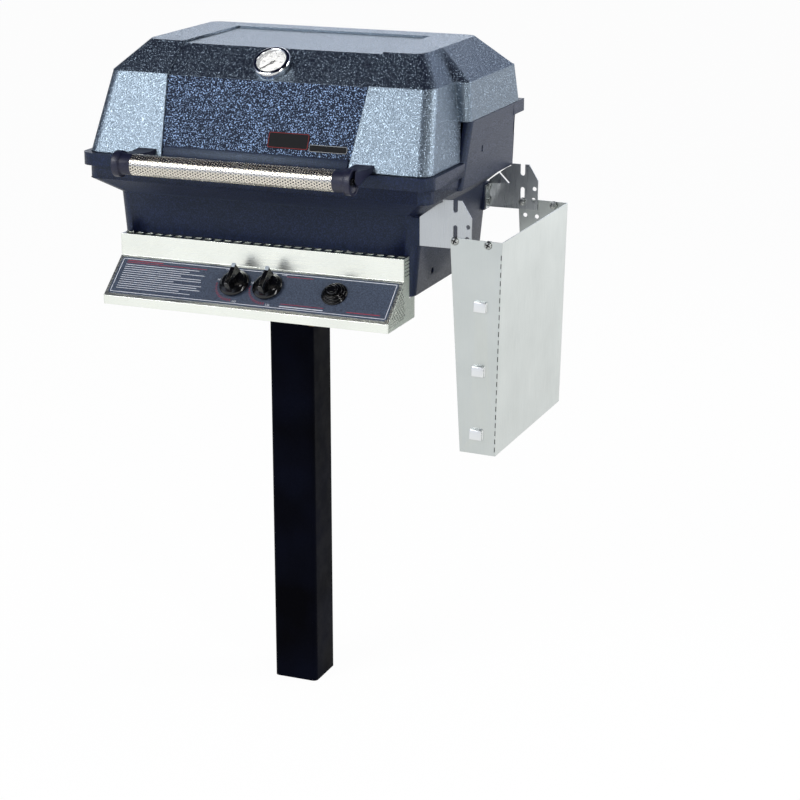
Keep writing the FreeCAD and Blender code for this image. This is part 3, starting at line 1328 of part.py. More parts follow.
def shelf_screw(name, across, up, outward, inner_reach, nut):
    """A round-head screw from the shelf's side through the bracket, with a nut inside."""
    face = shelf_front if outward < 0 else shelf_back
    inward = "+y" if outward < 0 else "-y"
    away = "-y" if outward < 0 else "+y"
    head = cone(name + "_head", (across, face, up), away, d.screw_head_radius, d.screw_head_radius - 2.5, 3)
    shank = rod(name + "_shank", (across, face, up), inward, d.pivot_radius, inner_reach)
    nut_face = face - outward * (inner_reach - 5)
    return fuse(name, head, shank, hexagon(name + "_nut", (across, nut_face, up), inward, nut, 4))


screw_reach = d.shelf_sheet + d.shelf_side_gap + d.bracket_sheet + 5.8
piece("pivot_screws", hang(group("pivot_screws", *[
    shelf_screw("pivot_screw", size(0), size(0), outward, screw_reach, 7) for outward in (-1, 1)])))
piece("lock_screws", hang(group("lock_screws", *[
    shelf_screw("lock_screw", d.lock_across, size(-1), outward, screw_reach, 7) for outward in (-1, 1)])))

doc.recompute()
failed = [item.Name for item in doc.Objects if "Invalid" in item.State or "Error" in item.State]
if failed:
    raise RuntimeError("failed features: " + ", ".join(failed))
os.makedirs("parts", exist_ok=True)
for name, item in PIECES.items():
    shape = item.Shape
    if shape.isNull() or not shape.isValid():
        raise RuntimeError("bad shape: " + name)
    shape.exportStep(f"parts/{name}.step")
    print(name, len(shape.Solids), "solids", round(shape.Volume / 1000, 1), "cm3")
print(len(PIECES), "pieces")
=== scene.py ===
# %% [markdown]
# A gas park grill: a cast aluminium firebox and lid, a folded stainless control panel and side shelf, and a square
# steel post that is sunk in the ground. The CAD model comes in first and fixes every place and size. Each visible
# piece is then dressed: it keeps its CAD mesh under a better finish, or a finer piece is modelled in its place.

# %% Load the CAD model
import json
import math

import bpy
from mathutils import Matrix, Vector

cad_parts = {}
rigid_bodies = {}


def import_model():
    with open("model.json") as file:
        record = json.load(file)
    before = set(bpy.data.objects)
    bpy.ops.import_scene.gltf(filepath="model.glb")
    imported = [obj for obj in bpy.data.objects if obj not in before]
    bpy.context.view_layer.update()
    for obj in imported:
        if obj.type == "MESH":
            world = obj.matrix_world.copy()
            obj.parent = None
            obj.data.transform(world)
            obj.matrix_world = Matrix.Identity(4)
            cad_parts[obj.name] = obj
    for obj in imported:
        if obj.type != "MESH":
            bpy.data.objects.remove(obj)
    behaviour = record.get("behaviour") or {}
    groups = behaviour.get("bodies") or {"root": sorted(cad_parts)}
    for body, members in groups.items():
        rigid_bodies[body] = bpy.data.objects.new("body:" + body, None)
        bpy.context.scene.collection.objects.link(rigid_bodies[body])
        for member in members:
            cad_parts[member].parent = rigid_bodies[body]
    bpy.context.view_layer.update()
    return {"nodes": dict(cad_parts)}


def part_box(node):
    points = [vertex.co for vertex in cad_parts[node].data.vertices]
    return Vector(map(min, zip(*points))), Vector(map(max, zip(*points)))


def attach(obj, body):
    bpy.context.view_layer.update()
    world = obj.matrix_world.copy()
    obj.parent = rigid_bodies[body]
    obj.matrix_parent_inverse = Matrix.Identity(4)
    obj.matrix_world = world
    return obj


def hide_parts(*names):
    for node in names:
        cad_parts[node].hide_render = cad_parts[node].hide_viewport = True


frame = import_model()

nodes = frame["nodes"]
MM = 0.001

# %% [markdown]
# The camera stands where the photographer stood: to the right of the grill, a little above the lid, and far enough
# back for a long lens. Its numbers come from matching the head's main corners to the picture.

# %% Camera
bpy.ops.object.select_all(action="DESELECT")
bpy.ops.object.camera_add(location=(1.673, -3.606, 1.777),
                          rotation=(math.radians(72.93), 0, math.radians(22.18)))
camera = bpy.context.object
camera.name = "camera"
camera.data.lens = 98.1
camera.data.sensor_width = 36
bpy.context.scene.camera = camera
bpy.context.scene.view_settings.view_transform = "Standard"
print("camera", tuple(camera.location))

# %% [markdown]
# Colours are written as sRGB hex values, as a paint card or a picture editor gives them, and one function turns them
# to the linear values that the shader wants. One more function adds a node, sets it and links it.

# %% Colour and node helpers
def linear(code):
    """The linear colour of an sRGB hex value."""
    parts = [int(code[start:start + 2], 16) / 255 for start in (1, 3, 5)]
    return tuple(part / 12.92 if part <= 0.04045 else ((part + 0.055) / 1.055) ** 2.4 for part in parts) + (1,)


def add(tree, kind, inputs=None, **settings):
    """Adds a node, and gives each named input a value or a link."""
    node = tree.nodes.new(kind)
    for key, value in settings.items():
        setattr(node, key, value)
    for key, value in (inputs or {}).items():
        if isinstance(value, bpy.types.NodeSocket):
            tree.links.new(value, node.inputs[key])
        else:
            node.inputs[key].default_value = value
    return node


print("white is", linear("#ffffff"))

# %% [markdown]
# The studio: a pale floor at ground level, through which the post goes down, and a world that is white where the
# camera looks. Glossy surfaces see the world white at the horizon and darker overhead, as in a studio with a dark
# ceiling, which is what gives a black coat its dark slopes and bright upright faces. Two upright dark fields, front
# right and back left, give the lid's rounded corners their dark edges.

# %% World
CEILING_START, CEILING_END = 0.28, 0.68
FRONT_RIGHT, BACK_LEFT = (0.866, -0.5, 0), (-0.93, 0.37, 0)
world = bpy.data.worlds.new("studio")
bpy.context.scene.world = world
world.use_nodes = True
tree = world.node_tree
tree.nodes.clear()
light_path = add(tree, "ShaderNodeLightPath")
direction = add(tree, "ShaderNodeTexCoord").outputs["Generated"]
height = add(tree, "ShaderNodeSeparateXYZ", {"Vector": direction}).outputs["Z"]
ceiling = add(tree, "ShaderNodeValToRGB", {"Fac": height})
ceiling.color_ramp.elements[0].position = CEILING_START
ceiling.color_ramp.elements[0].color = linear("#dce6ff")
ceiling.color_ramp.elements[1].position = CEILING_END
ceiling.color_ramp.elements[1].color = linear("#14172a")
to_corner = add(tree, "ShaderNodeVectorMath", {0: direction, 1: FRONT_RIGHT}, operation="DOT_PRODUCT")
dark_corner = add(tree, "ShaderNodeMapRange", {"Value": to_corner.outputs["Value"], "From Min": 0.4,
                                               "From Max": 0.6, "To Min": 1, "To Max": 0.02})
to_left = add(tree, "ShaderNodeVectorMath", {0: direction, 1: BACK_LEFT}, operation="DOT_PRODUCT")
dark_left = add(tree, "ShaderNodeMapRange", {"Value": to_left.outputs["Value"], "From Min": 0.72, "From Max": 0.86,
                                             "To Min": 1, "To Max": 0.08})
strength = add(tree, "ShaderNodeMath", {0: dark_corner.outputs["Result"], 1: dark_left.outputs["Result"]},
               operation="MULTIPLY")
seen = add(tree, "ShaderNodeMath", {0: light_path.outputs["Is Camera Ray"],
                                    1: light_path.outputs["Is Transmission Ray"]}, operation="MAXIMUM")
glossy = add(tree, "ShaderNodeBackground", {"Color": ceiling.outputs["Color"],
                                            "Strength": strength.outputs[0]})
soft = add(tree, "ShaderNodeBackground", {"Color": linear("#f2f4ff"), "Strength": 0.45})
white = add(tree, "ShaderNodeBackground", {"Color": linear("#ffffff"), "Strength": 1})
lit = add(tree, "ShaderNodeMixShader", {"Fac": light_path.outputs["Is Glossy Ray"], 1: soft.outputs[0],
                                        2: glossy.outputs[0]})
shown = add(tree, "ShaderNodeMixShader", {"Fac": seen.outputs[0], 1: lit.outputs[0], 2: white.outputs[0]})
add(tree, "ShaderNodeOutputWorld", {"Surface": shown.outputs[0]})
print("world ready")

# %% [markdown]
# The floor is white where the camera or a mirror sees it, but for a small share of plain paint that keeps the
# object's shadow. Other light meets the paint alone.

# %% Floor
GLOWING_SHARE, FLOOR_SIDE = 0.96, 40
floor_material = bpy.data.materials.new("pale studio floor")
floor_material.use_nodes = True
tree = floor_material.node_tree
tree.nodes.clear()
light_path = add(tree, "ShaderNodeLightPath")
mirror = add(tree, "ShaderNodeMath", {0: light_path.outputs["Is Camera Ray"],
                                      1: light_path.outputs["Is Glossy Ray"]}, operation="MAXIMUM")
seen = add(tree, "ShaderNodeMath", {0: mirror.outputs[0], 1: light_path.outputs["Is Transmission Ray"]},
           operation="MAXIMUM")
share = add(tree, "ShaderNodeMath", {0: seen.outputs[0], 1: GLOWING_SHARE}, operation="MULTIPLY")
paint = add(tree, "ShaderNodeBsdfDiffuse", {"Color": linear("#f4f4f2")})
glow = add(tree, "ShaderNodeEmission", {"Color": linear("#ffffff"), "Strength": 1})
blend = add(tree, "ShaderNodeMixShader", {"Fac": share.outputs[0], 1: paint.outputs[0], 2: glow.outputs[0]})
add(tree, "ShaderNodeOutputMaterial", {"Surface": blend.outputs[0]})

bpy.ops.mesh.primitive_plane_add(size=FLOOR_SIDE, location=(0, 0, 0))
floor = bpy.context.object
floor.name = "studio_floor"
floor.data.materials.append(floor_material)
print("floor of", FLOOR_SIDE, "m ready")

# %% [markdown]
# Five soft boxes. The large one in front on the left is what the lid's upright front mirrors into the camera, so
# it draws the bright pebbled fields beside the sunk panel. A narrow one in front on the right draws the upright
# highlights on the rounded corner, one on the right lights the lid's end, and a weak one beyond it lifts the shelf's
# side. The last one stands behind, so that the back isn't dark.

# %% Lamps
HEAD = Vector((0, 0, 1.0))


def soft_box(name, place, size, power):
    """A white area lamp at a place, facing the grill's head, with its size in metres and its power in watts."""
    turn = (HEAD - Vector(place)).to_track_quat("-Z", "Y").to_euler()
    bpy.ops.object.light_add(type="AREA", location=place, rotation=turn)
    lamp = bpy.context.object
    lamp.name = name
    lamp.data.shape = "RECTANGLE"
    lamp.data.size, lamp.data.size_y = size
    lamp.data.energy = power
    print(name, place, power, "W")


soft_box("front_box", (-1.5, -2.6, 2.9), (2.2, 1.2), 78)
soft_box("corner_box", (2.5, -1.9, 1.7), (0.25, 2.2), 30)
soft_box("right_box", (3.2, 1.2, 2.2), (1.6, 1.6), 60)
soft_box("side_box", (1.7, 2.5, 0.9), (1.4, 1.4), 2)
soft_box("back_box", (-1.2, 2.9, 2.3), (2.2, 1.2), 15)

# %% [markdown]
# Working with operators: an operator acts on everything that is selected, so each step begins with one object
# selected and active. Faces and edges are then picked in code by their place or direction.

# %% Selection and edit helpers
def alone(piece):
    """Selects one object and nothing else."""
    if bpy.context.object and bpy.context.object.mode != "OBJECT":
        bpy.ops.object.mode_set(mode="OBJECT")
    bpy.ops.object.select_all(action="DESELECT")
    piece.select_set(True)
    bpy.context.view_layer.objects.active = piece


def pick_faces(piece, test):
    """In edit mode, selects the faces that pass a test."""
    bpy.ops.object.mode_set(mode="EDIT")
    bpy.ops.mesh.select_mode(type="FACE")
    bpy.ops.mesh.select_all(action="DESELECT")
    bpy.ops.object.mode_set(mode="OBJECT")
    for face in piece.data.polygons:
        face.select = bool(test(face))
    bpy.ops.object.mode_set(mode="EDIT")


def modify(piece, kind, **settings):
    """Adds a modifier and applies it."""
    alone(piece)
    modifier = piece.modifiers.new(kind.lower(), kind)
    for key, value in settings.items():
        setattr(modifier, key, value)
    bpy.ops.object.modifier_apply(modifier=modifier.name)


def tidy(piece, angle=30, gap=0.00001):
    """Merges doubles, turns faces outwards and smooths all but the sharp edges."""
    alone(piece)
    bpy.ops.object.mode_set(mode="EDIT")
    bpy.ops.mesh.select_all(action="SELECT")
    bpy.ops.mesh.remove_doubles(threshold=gap)
    bpy.ops.mesh.normals_make_consistent(inside=False)
    bpy.ops.object.mode_set(mode="OBJECT")
    bpy.ops.object.shade_smooth_by_angle(angle=math.radians(angle))


def settle(piece, place=Matrix.Identity(4)):
    """Puts a piece's place into its mesh and leaves its object at the origin."""
    alone(piece)
    bpy.ops.object.transform_apply(location=True, rotation=True, scale=True)
    piece.data.transform(place)


def stand_for(piece, name, body, slot, material, *replaced):
    """Names a piece, gives it its finish and ties it to the CAD model."""
    piece.name = piece.data.name = name
    if material:
        piece.data.materials.clear()
        piece.data.materials.append(material)
    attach(piece, body)
    if replaced:
        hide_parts(*replaced)
    print(name, len(piece.data.polygons), "faces")
    return piece


def body_of(node):
    """The body that a CAD node rides on."""
    return nodes[node].parent.name.removeprefix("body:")


def refined(node, slot, material, angle=28):
    """A copy of a CAD node with its loose triangles merged and its curves smoothed; large flats keep flat shading."""
    mesh = nodes[node].data.copy()
    piece = bpy.data.objects.new(node, mesh)
    bpy.context.scene.collection.objects.link(piece)
    alone(piece)
    bpy.ops.object.mode_set(mode="EDIT")
    bpy.ops.mesh.select_all(action="SELECT")
    bpy.ops.mesh.remove_doubles(threshold=0.000002)
    bpy.ops.object.mode_set(mode="OBJECT")
    bpy.ops.object.shade_smooth_by_angle(angle=math.radians(angle))
    modify(piece, "WEIGHTED_NORMAL", keep_sharp=True, mode="FACE_AREA")
    return stand_for(piece, node + "_shell", body_of(node), slot, material, node)


print("helpers ready")

# %% [markdown]
# Finishes. Most of them are a principled shader with a fine noise that moves its colour, roughness and normal. Noise
# runs on Object coordinates, which here are metres in the grill's own frame, so a scale of 1000 / grain gives grains
# of that many millimetres.

# %% Finish helpers
def finish(name, base, **values):
    """A material with a principled shader; its inputs are given with underscores for spaces."""
    material = bpy.data.materials.new(name)
    material.use_nodes = True
    tree = material.node_tree
    shader = tree.nodes["Principled BSDF"]
    shader.inputs["Base Color"].default_value = linear(base)
    for key, value in values.items():
        shader.inputs[key.replace("_", " ")].default_value = value
    return material, tree, shader


def grains(tree, millimetres, detail=2, stretch=(1, 1, 1)):
    """Noise whose grains have a real size."""
    place = add(tree, "ShaderNodeTexCoord").outputs["Object"]
    placed = add(tree, "ShaderNodeMapping", {"Vector": place, "Scale": stretch}).outputs["Vector"]
    return add(tree, "ShaderNodeTexNoise", {"Vector": placed, "Scale": 1000 / millimetres, "Detail": detail,
                                            "Roughness": 0.5}).outputs["Fac"]


def spread(tree, value, low, high, start=0.35, end=0.65):
    """Maps a noise value to a range of numbers."""
    return add(tree, "ShaderNodeMapRange", {"Value": value, "From Min": start, "From Max": end, "To Min": low,
                                            "To Max": high}).outputs["Result"]


def tint(tree, value, *colours):
    """Maps a value from 0 to 1 to a run of (position, hex colour) stops."""
    node = add(tree, "ShaderNodeValToRGB", {"Fac": value})
    stops = node.color_ramp.elements
    while len(stops) < len(colours):
        stops.new(0.5)
    for stop, (position, code) in zip(stops, colours):
        stop.position = position
        stop.color = linear(code)
    return node.outputs["Color"]


def darkened(code, share):
    """A hex colour with each of its parts scaled down."""
    return "#" + "".join(f"{int(int(code[start:start + 2], 16) * share):02x}" for start in (1, 3, 5))


def bumped(tree, shader, value, millimetres, edge=0):
    """Raises the surface by a noise value, and rounds its edges by a small radius."""
    inputs = {"Height": value, "Distance": millimetres * MM, "Strength": 1}
    if edge:
        inputs["Normal"] = add(tree, "ShaderNodeBevel", {"Radius": edge * MM}, samples=4).outputs["Normal"]
    tree.links.new(add(tree, "ShaderNodeBump", inputs).outputs["Normal"], shader.inputs["Normal"])


print("finish helpers ready")

# %% [markdown]
# Baked powder coat on sand-cast aluminium: the casting's skin is pebbled like orange peel, and the coat is a satin
# blue-black. Each pebble catches the light on one side, so a lit face glitters blue-grey and an unlit one is nearly
# black with a few sparks. Those sparks are also painted into the base colour as pale specks, which are painted
# glints.
# The real pebbles are about 1.5 mm; they are drawn at 2.2 mm so that they show.

# %% Cast coat
def cast_coat(name, base, glint_colour, gloss, pebble=2.2, rise=0.5, level=0.5, sparse=0.52, ior=1.5):
    """A pebbled coat: a dark base, painted glints as pale specks where the noise passes sparse, and a satin gloss."""
    material, tree, shader = finish(name, base, Roughness=gloss, Specular_IOR_Level=level, IOR=ior,
                                    Specular_Tint=linear("#c4d8e8"))
    fine = grains(tree, pebble, detail=1)
    # The pale specks mixed into the base colour are painted glints.
    colour = tint(tree, fine, (sparse, base), (sparse + 0.1, glint_colour))
    tree.links.new(colour, shader.inputs["Base Color"])
    tree.links.new(spread(tree, fine, gloss + 0.12, gloss - 0.06, 0.4, 0.6), shader.inputs["Roughness"])
    bumped(tree, shader, fine, rise, edge=2.5)
    return material


# Each coat's second colour is the colour of its painted glints.
coat = cast_coat("pebbled powder coat on cast aluminium", "#070a1c", "#b4c8da", 0.3, rise=0.9, level=1, sparse=0.6,
                 ior=2.1)
recess_coat = cast_coat("pebbled coat in the sunk panel", "#060a22", "#98b6e2", 0.5, level=0.3, sparse=0.56)
smooth_coat = cast_coat("finer coat on the firebox", "#0b1024", "#1a2246", 0.42, pebble=1.6, rise=0.3, level=0.55)
print("three coats")

# %% [markdown]
# Brushed stainless sheet: rolled sheet rubbed with a belt along the grain. The grain is a noise stretched sixty times
# along one axis. It moves the roughness and leaves hair-fine ridges, so highlights smear across the grain.

# %% Stainless and other bright metals
GRAIN_STRETCH = 60


def brushed(name, base, along, gloss):
    """Stainless sheet whose grain runs along one axis."""
    material, tree, shader = finish(name, base, Metallic=1, Roughness=gloss)
    stretch = [1 / GRAIN_STRETCH if axis == along else 1 for axis in "xyz"]
    hairs = grains(tree, 0.9, stretch=stretch)
    clouds = grains(tree, 90, detail=3)
    tree.links.new(spread(tree, hairs, gloss - 0.08, gloss + 0.1), shader.inputs["Roughness"])
    tree.links.new(tint(tree, clouds, (0.2, darkened(base, 0.95)), (0.8, base)), shader.inputs["Base Color"])
    bumped(tree, shader, hairs, 0.02, edge=0.8)
    return material


panel_steel = brushed("brushed stainless sheet, grain across", "#fcfff6", "x", gloss=0.3)
shelf_steel = brushed("brushed stainless sheet, grain down", "#d0d5d2", "z", gloss=0.36)
bracket_steel = brushed("brushed stainless bracket", "#c2c6c8", "z", gloss=0.34)
tube_steel = brushed("bright perforated stainless", "#e0dace", "x", gloss=0.2)

chrome, tree, shader = finish("polished chrome plate", "#e8eaec", Metallic=1, Roughness=0.07)
tree.links.new(spread(tree, grains(tree, 6), 0.05, 0.1), shader.inputs["Roughness"])
bumped(tree, shader, grains(tree, 14), 0.01, edge=0.5)

zinc, tree, shader = finish("zinc-plated fastener steel", "#b9bbb8", Metallic=1, Roughness=0.35)
tree.links.new(tint(tree, grains(tree, 3), (0.3, "#9fa2a0"), (0.7, "#c6c8c4")), shader.inputs["Base Color"])
bumped(tree, shader, grains(tree, 1.2), 0.03, edge=0.3)

# The brass is coloured a darker brown than new brass.
brass, tree, shader = finish("brass that has browned outdoors", "#6b5636", Metallic=1, Roughness=0.4)
tree.links.new(spread(tree, grains(tree, 2), 0.24, 0.38), shader.inputs["Roughness"])
print("metals ready")

# %% [markdown]
# Moulded and printed parts: glossy black phenolic knobs, satin black handle ends, the printed polycarbonate overlay
# with its fine pebble, white enamel with a painted glow, and the glass over the dial.

# %% Moulded, printed and glazed finishes
knob_black, tree, shader = finish("glossy black phenolic", "#08080a", Roughness=0.16)
tree.links.new(spread(tree, grains(tree, 20), 0.13, 0.2), shader.inputs["Roughness"])
bumped(tree, shader, grains(tree, 5), 0.02, edge=0.6)

end_black, tree, shader = finish("satin black painted casting", "#15172a", Roughness=0.42)
tree.links.new(tint(tree, grains(tree, 2), (0.4, "#12142a"), (0.7, "#1e2138")), shader.inputs["Base Color"])
bumped(tree, shader, grains(tree, 1.4), 0.12, edge=1.5)

post_paint, tree, shader = finish("black paint on steel tube", "#05070c", Roughness=0.5, IOR=1.1,
                                  Specular_IOR_Level=0.3)
tree.links.new(tint(tree, grains(tree, 120), (0.35, "#030306"), (0.65, "#070914")), shader.inputs["Base Color"])
tree.links.new(spread(tree, grains(tree, 30), 0.44, 0.56), shader.inputs["Roughness"])
bumped(tree, shader, grains(tree, 2.2), 0.05, edge=3)

overlay_film, tree, shader = finish("printed polycarbonate film", "#3d4656", Roughness=0.42)
pebbles = grains(tree, 1.8, detail=1)
tree.links.new(tint(tree, pebbles, (0.42, "#323a49"), (0.62, "#4a5568")), shader.inputs["Base Color"])
bumped(tree, shader, pebbles, 0.12, edge=0.3)


def ink(name, base, gloss=0.5, level=0.5):
    """A printed or enamelled flat colour with a faint mottle."""
    material, tree, shader = finish(name, base, Roughness=gloss, Specular_IOR_Level=level)
    mottle = tint(tree, grains(tree, 4), (0.3, darkened(base, 0.9)), (0.6, base))
    tree.links.new(mottle, shader.inputs["Base Color"])
    bumped(tree, shader, grains(tree, 1), 0.02)
    return material


white_ink = ink("white screen print", "#dfe3ea")
red_ink = ink("muted red screen print", "#9a3346")
dial_enamel = ink("white dial enamel", "#fafaf8", 0.35)
# The dial's emission is a painted glow: the white dial shines though it is no lamp.
dial_glow_shader = dial_enamel.node_tree.nodes["Principled BSDF"]
dial_glow_shader.inputs["Emission Color"].default_value = linear("#ffffff")
dial_glow_shader.inputs["Emission Strength"].default_value = 0.25
needle_black = ink("black needle lacquer", "#0a0a0c", 0.4)
plate_black = ink("black enamelled badge plate", "#0b0b0e", 0.6, 0.15)
plate_red = ink("red enamel in the badge's border", "#8c1f26", 0.5, 0.2)
plate_silver = ink("silver line on the badge plate", "#c9ced2", 0.4, 0.3)
tip_paint = ink("pale paint on the knob's pointer", "#aab4be", 0.3)
ceramic = ink("white glazed ceramic", "#ecebe4", 0.2)
rubber = ink("black wire sleeve", "#141414", 0.6)

glass = finish("clear dial glass", "#ffffff", Roughness=0.02, IOR=1.45, Transmission_Weight=1)[0]

# %% [markdown]
# Inside the grill: porcelain-coated grids, pressed clay briquettes that are scorched unevenly, and the plain
# aluminium cup for grease.

# %% Inner finishes
grid_iron, tree, shader = finish("porcelain coat on grid bars", "#2a2c30", Roughness=0.3)
tree.links.new(tint(tree, grains(tree, 8), (0.35, "#232428"), (0.7, "#3a3c40")), shader.inputs["Base Color"])
bumped(tree, shader, grains(tree, 3), 0.1, edge=0.6)

clay, tree, shader = finish("pressed clay briquette", "#a98a6b", Roughness=0.9)
tree.links.new(tint(tree, grains(tree, 14, detail=5), (0.3, "#6d5847"), (0.5, "#a88a6c"), (0.7, "#c7ab8b")),
               shader.inputs["Base Color"])
bumped(tree, shader, grains(tree, 2.5, detail=4), 0.7, edge=2)

cup_metal, tree, shader = finish("pressed aluminium", "#c5c7c9", Metallic=1, Roughness=0.4)
tree.links.new(spread(tree, grains(tree, 5), 0.34, 0.48), shader.inputs["Roughness"])
print("finishes:", len(bpy.data.materials))

# %% [markdown]
# Every CAD node first gets a finish in its own material slots. Nodes that a finer piece replaces later keep it too,
# unseen.

# %% Finish of each node
FINISHES = {
    coat: "lid", smooth_coat: "firebox",
    end_black: "handle_end_left handle_end_right igniter_bezel grease_hanger head_bracket",
    post_paint: "ground_post", panel_steel: "control_panel", tube_steel: "handle_tube",
    shelf_steel: "shelf_panel panel_end_left panel_end_right burner_left burner_right venturi_left "
                 "venturi_right warming_rack",
    bracket_steel: "shelf_bracket_front shelf_bracket_rear handle_rod",
    zinc: "post_screws head_bolts hinge_pins hinge_clips thermometer_stem thermometer_nut panel_screws "
          "bracket_screws pivot_screws lock_screws spring_seat_left spring_seat_right manifold",
    brass: "valve_left valve_right valve_stem_left valve_stem_right gas_inlet",
    chrome: "thermometer_case igniter_electrode", dial_enamel: "thermometer_dial",
    needle_black: "thermometer_needle", glass: "thermometer_glass", plate_black: "lid_badge lid_name_plate",
    overlay_film: "panel_overlay", knob_black: "knob_left knob_right igniter_button handle_bolts",
    white_ink: "knob_pointer_left knob_pointer_right", ceramic: "igniter_body", rubber: "igniter_wire",
    grid_iron: "cooking_grid_left cooking_grid_right briquette_grate", clay: "briquettes", cup_metal: "grease_cup",
}
for material, names in FINISHES.items():
    for name in names.split():
        mesh_materials = nodes[name].data.materials
        mesh_materials.clear()
        mesh_materials.append(material)
unfinished = set(nodes) - {name for names in FINISHES.values() for name in names.split()}
print("nodes without a finish:", sorted(unfinished))

# %% [markdown]
# The castings and tubes keep their CAD shapes. A CAD node is a set of loose triangles, so a copy is merged and its
# curves are smoothed, which takes the facets out of rounded corners.

# %% Castings, sheets and tubes as refined copies
for node, slot, material in (
        ("firebox", "cast_black", smooth_coat), ("ground_post", "post_black", post_paint),
        ("head_bracket", "post_black", post_paint), ("handle_end_left", "handle_black", end_black),
        ("handle_end_right", "handle_black", end_black), ("burner_left", "stainless", shelf_steel),
        ("burner_right", "stainless", shelf_steel), ("venturi_left", "stainless", shelf_steel),
        ("venturi_right", "stainless", shelf_steel), ("grease_cup", "cup_aluminium", cup_metal),
        ("warming_rack", "stainless", shelf_steel), ("handle_rod", "fastener_steel", bracket_steel),
        ("shelf_bracket_front", "stainless", bracket_steel), ("shelf_bracket_rear", "stainless", bracket_steel),
        ("valve_left", "brass", brass), ("valve_right", "brass", brass), ("gas_inlet", "brass", brass),
        ("manifold", "fastener_steel", zinc), ("igniter_wire", "wire_black", rubber)):
    refined(node, slot, material)

# %% [markdown]
# The lid's front panel is cast 4 mm deeper than the fields beside it and has a finer, duller skin. Its faces are
# found by their distance from the plane of the outer fields, and get the second coat. The lid's bends are kept
# sharper than those of other pieces, because its slopes are flat and meet at clear edges.

# %% Lid
LID_SMOOTHING = 16
FRONT_TILT = math.atan2(140, 62)
FRONT_NORMAL = Vector((0, -math.sin(FRONT_TILT), math.cos(FRONT_TILT)))
FRONT_POINT = Vector((0, -0.191, 1.0466))
lid = refined("lid", "cast_black", coat, LID_SMOOTHING)
lid.data.materials.append(recess_coat)
sunk = 0
for face in lid.data.polygons:
    depth = (face.center - FRONT_POINT).dot(FRONT_NORMAL)
    if -5.5 * MM < depth < -MM and face.normal.dot(FRONT_NORMAL) > 0.98 and abs(face.center.x) < 200 * MM:
        face.material_index = 1
        sunk += 1
print("sunk faces", sunk)

# %% [markdown]
# The control panel is one folded sheet. The ledge at its top lies under the lid's rim and mirrors the black
# firebox; it gets a smoother finish and a darker colour than the upright faces, and that colour is painted shade and
# a painted reflection of the firebox. The sheet is shaded flat, because smooth shading would bend the light over its
# folds.

# %% Control panel
LEDGE_UP = 0.8945
FLAT = 1
# The ledge's dark steel colour is painted shade and a painted reflection of the black firebox.
ledge_shade_steel = brushed("stainless ledge under the rim", "#55585a", "x", gloss=0.22)
panel = refined("control_panel", "stainless", panel_steel, FLAT)
panel.data.materials.append(ledge_shade_steel)
ledge = 0
for face in panel.data.polygons:
    if face.center.z > LEDGE_UP and face.normal.z > 0.9:
        face.material_index = 1
        ledge += 1
print("ledge faces", ledge)

# %% [markdown]
# Round parts are made as on a lathe, ring by ring: a filled circle is extruded to the next height and scaled to the
# next radius, again and again. The list of rings is the part's profile in millimetres.

# %% Lathe helper
def turned(rings, count):
    """A round solid from a profile of (radius, height) rings, standing on the origin's Z axis."""
    (radius, height), *others = rings
    bpy.ops.object.select_all(action="DESELECT")
    bpy.ops.mesh.primitive_circle_add(vertices=count, radius=radius * MM, location=(0, 0, height * MM),
                                      fill_type="NGON")
    piece = bpy.context.object
    bpy.ops.object.mode_set(mode="EDIT")
    bpy.ops.mesh.select_all(action="SELECT")
    for next_radius, next_height in others:
        bpy.ops.mesh.extrude_region_move(
            TRANSFORM_OT_translate={"value": (0, 0, (next_height - height) * MM)})
        scale = next_radius / radius
        bpy.ops.transform.resize(value=(scale, scale, 1))
        radius, height = next_radius, next_height
    bpy.ops.object.mode_set(mode="OBJECT")
    return piece


# %% [markdown]
# The handle's grip is a perforated tube. One hexagonal tile with a round hole is modelled, arrayed in a staggered
# sheet, and wrapped round the tube's axis: 21 tiles go round it, which gives holes 5.8 mm apart.

# %% Handle tube
tube_low, tube_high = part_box("handle_tube")
TUBE_HALF, TUBE_RADIUS = tube_high[0], (tube_high[2] - tube_low[2]) / 2
TUBE_AXIS = Vector((0, (tube_low[1] + tube_high[1]) / 2, (tube_low[2] + tube_high[2]) / 2))
TILES_ROUND = 21
HOLE_RADIUS, TUBE_WALL = 1.6 * MM, 1.2 * MM
tile_pitch = math.tau * TUBE_RADIUS / TILES_ROUND
tile_corner = tile_pitch / math.sqrt(3)
bpy.ops.object.select_all(action="DESELECT")
bpy.ops.mesh.primitive_circle_add(vertices=6, radius=tile_corner, rotation=(0, 0, math.radians(30)))
tube = bpy.context.object
settle(tube)
bpy.ops.object.mode_set(mode="EDIT")
bpy.ops.mesh.select_all(action="SELECT")
bpy.ops.mesh.subdivide(number_cuts=1)
bpy.ops.mesh.edge_face_add()
bpy.ops.mesh.inset(thickness=tile_corner * 0.35)
bpy.ops.transform.tosphere(value=1)
bpy.ops.object.mode_set(mode="OBJECT")
hole = [vertex.co.length for vertex in tube.data.vertices if vertex.select]
bpy.ops.object.mode_set(mode="EDIT")
bpy.ops.transform.resize(value=(HOLE_RADIUS / max(hole),) * 2 + (1,))
bpy.ops.mesh.delete(type="ONLY_FACE")
bpy.ops.object.mode_set(mode="OBJECT")
columns = math.ceil(TUBE_HALF / (1.5 * tile_corner)) + 1
for count, step in ((TILES_ROUND, (0, tile_pitch, 0)), (2, (1.5 * tile_corner, tile_pitch / 2, 0)),
                    (columns, (3 * tile_corner, 0, 0))):
    modify(tube, "ARRAY", count=count, use_relative_offset=False, use_constant_offset=True,
           constant_offset_displace=step, use_merge_vertices=True, merge_threshold=0.00002)
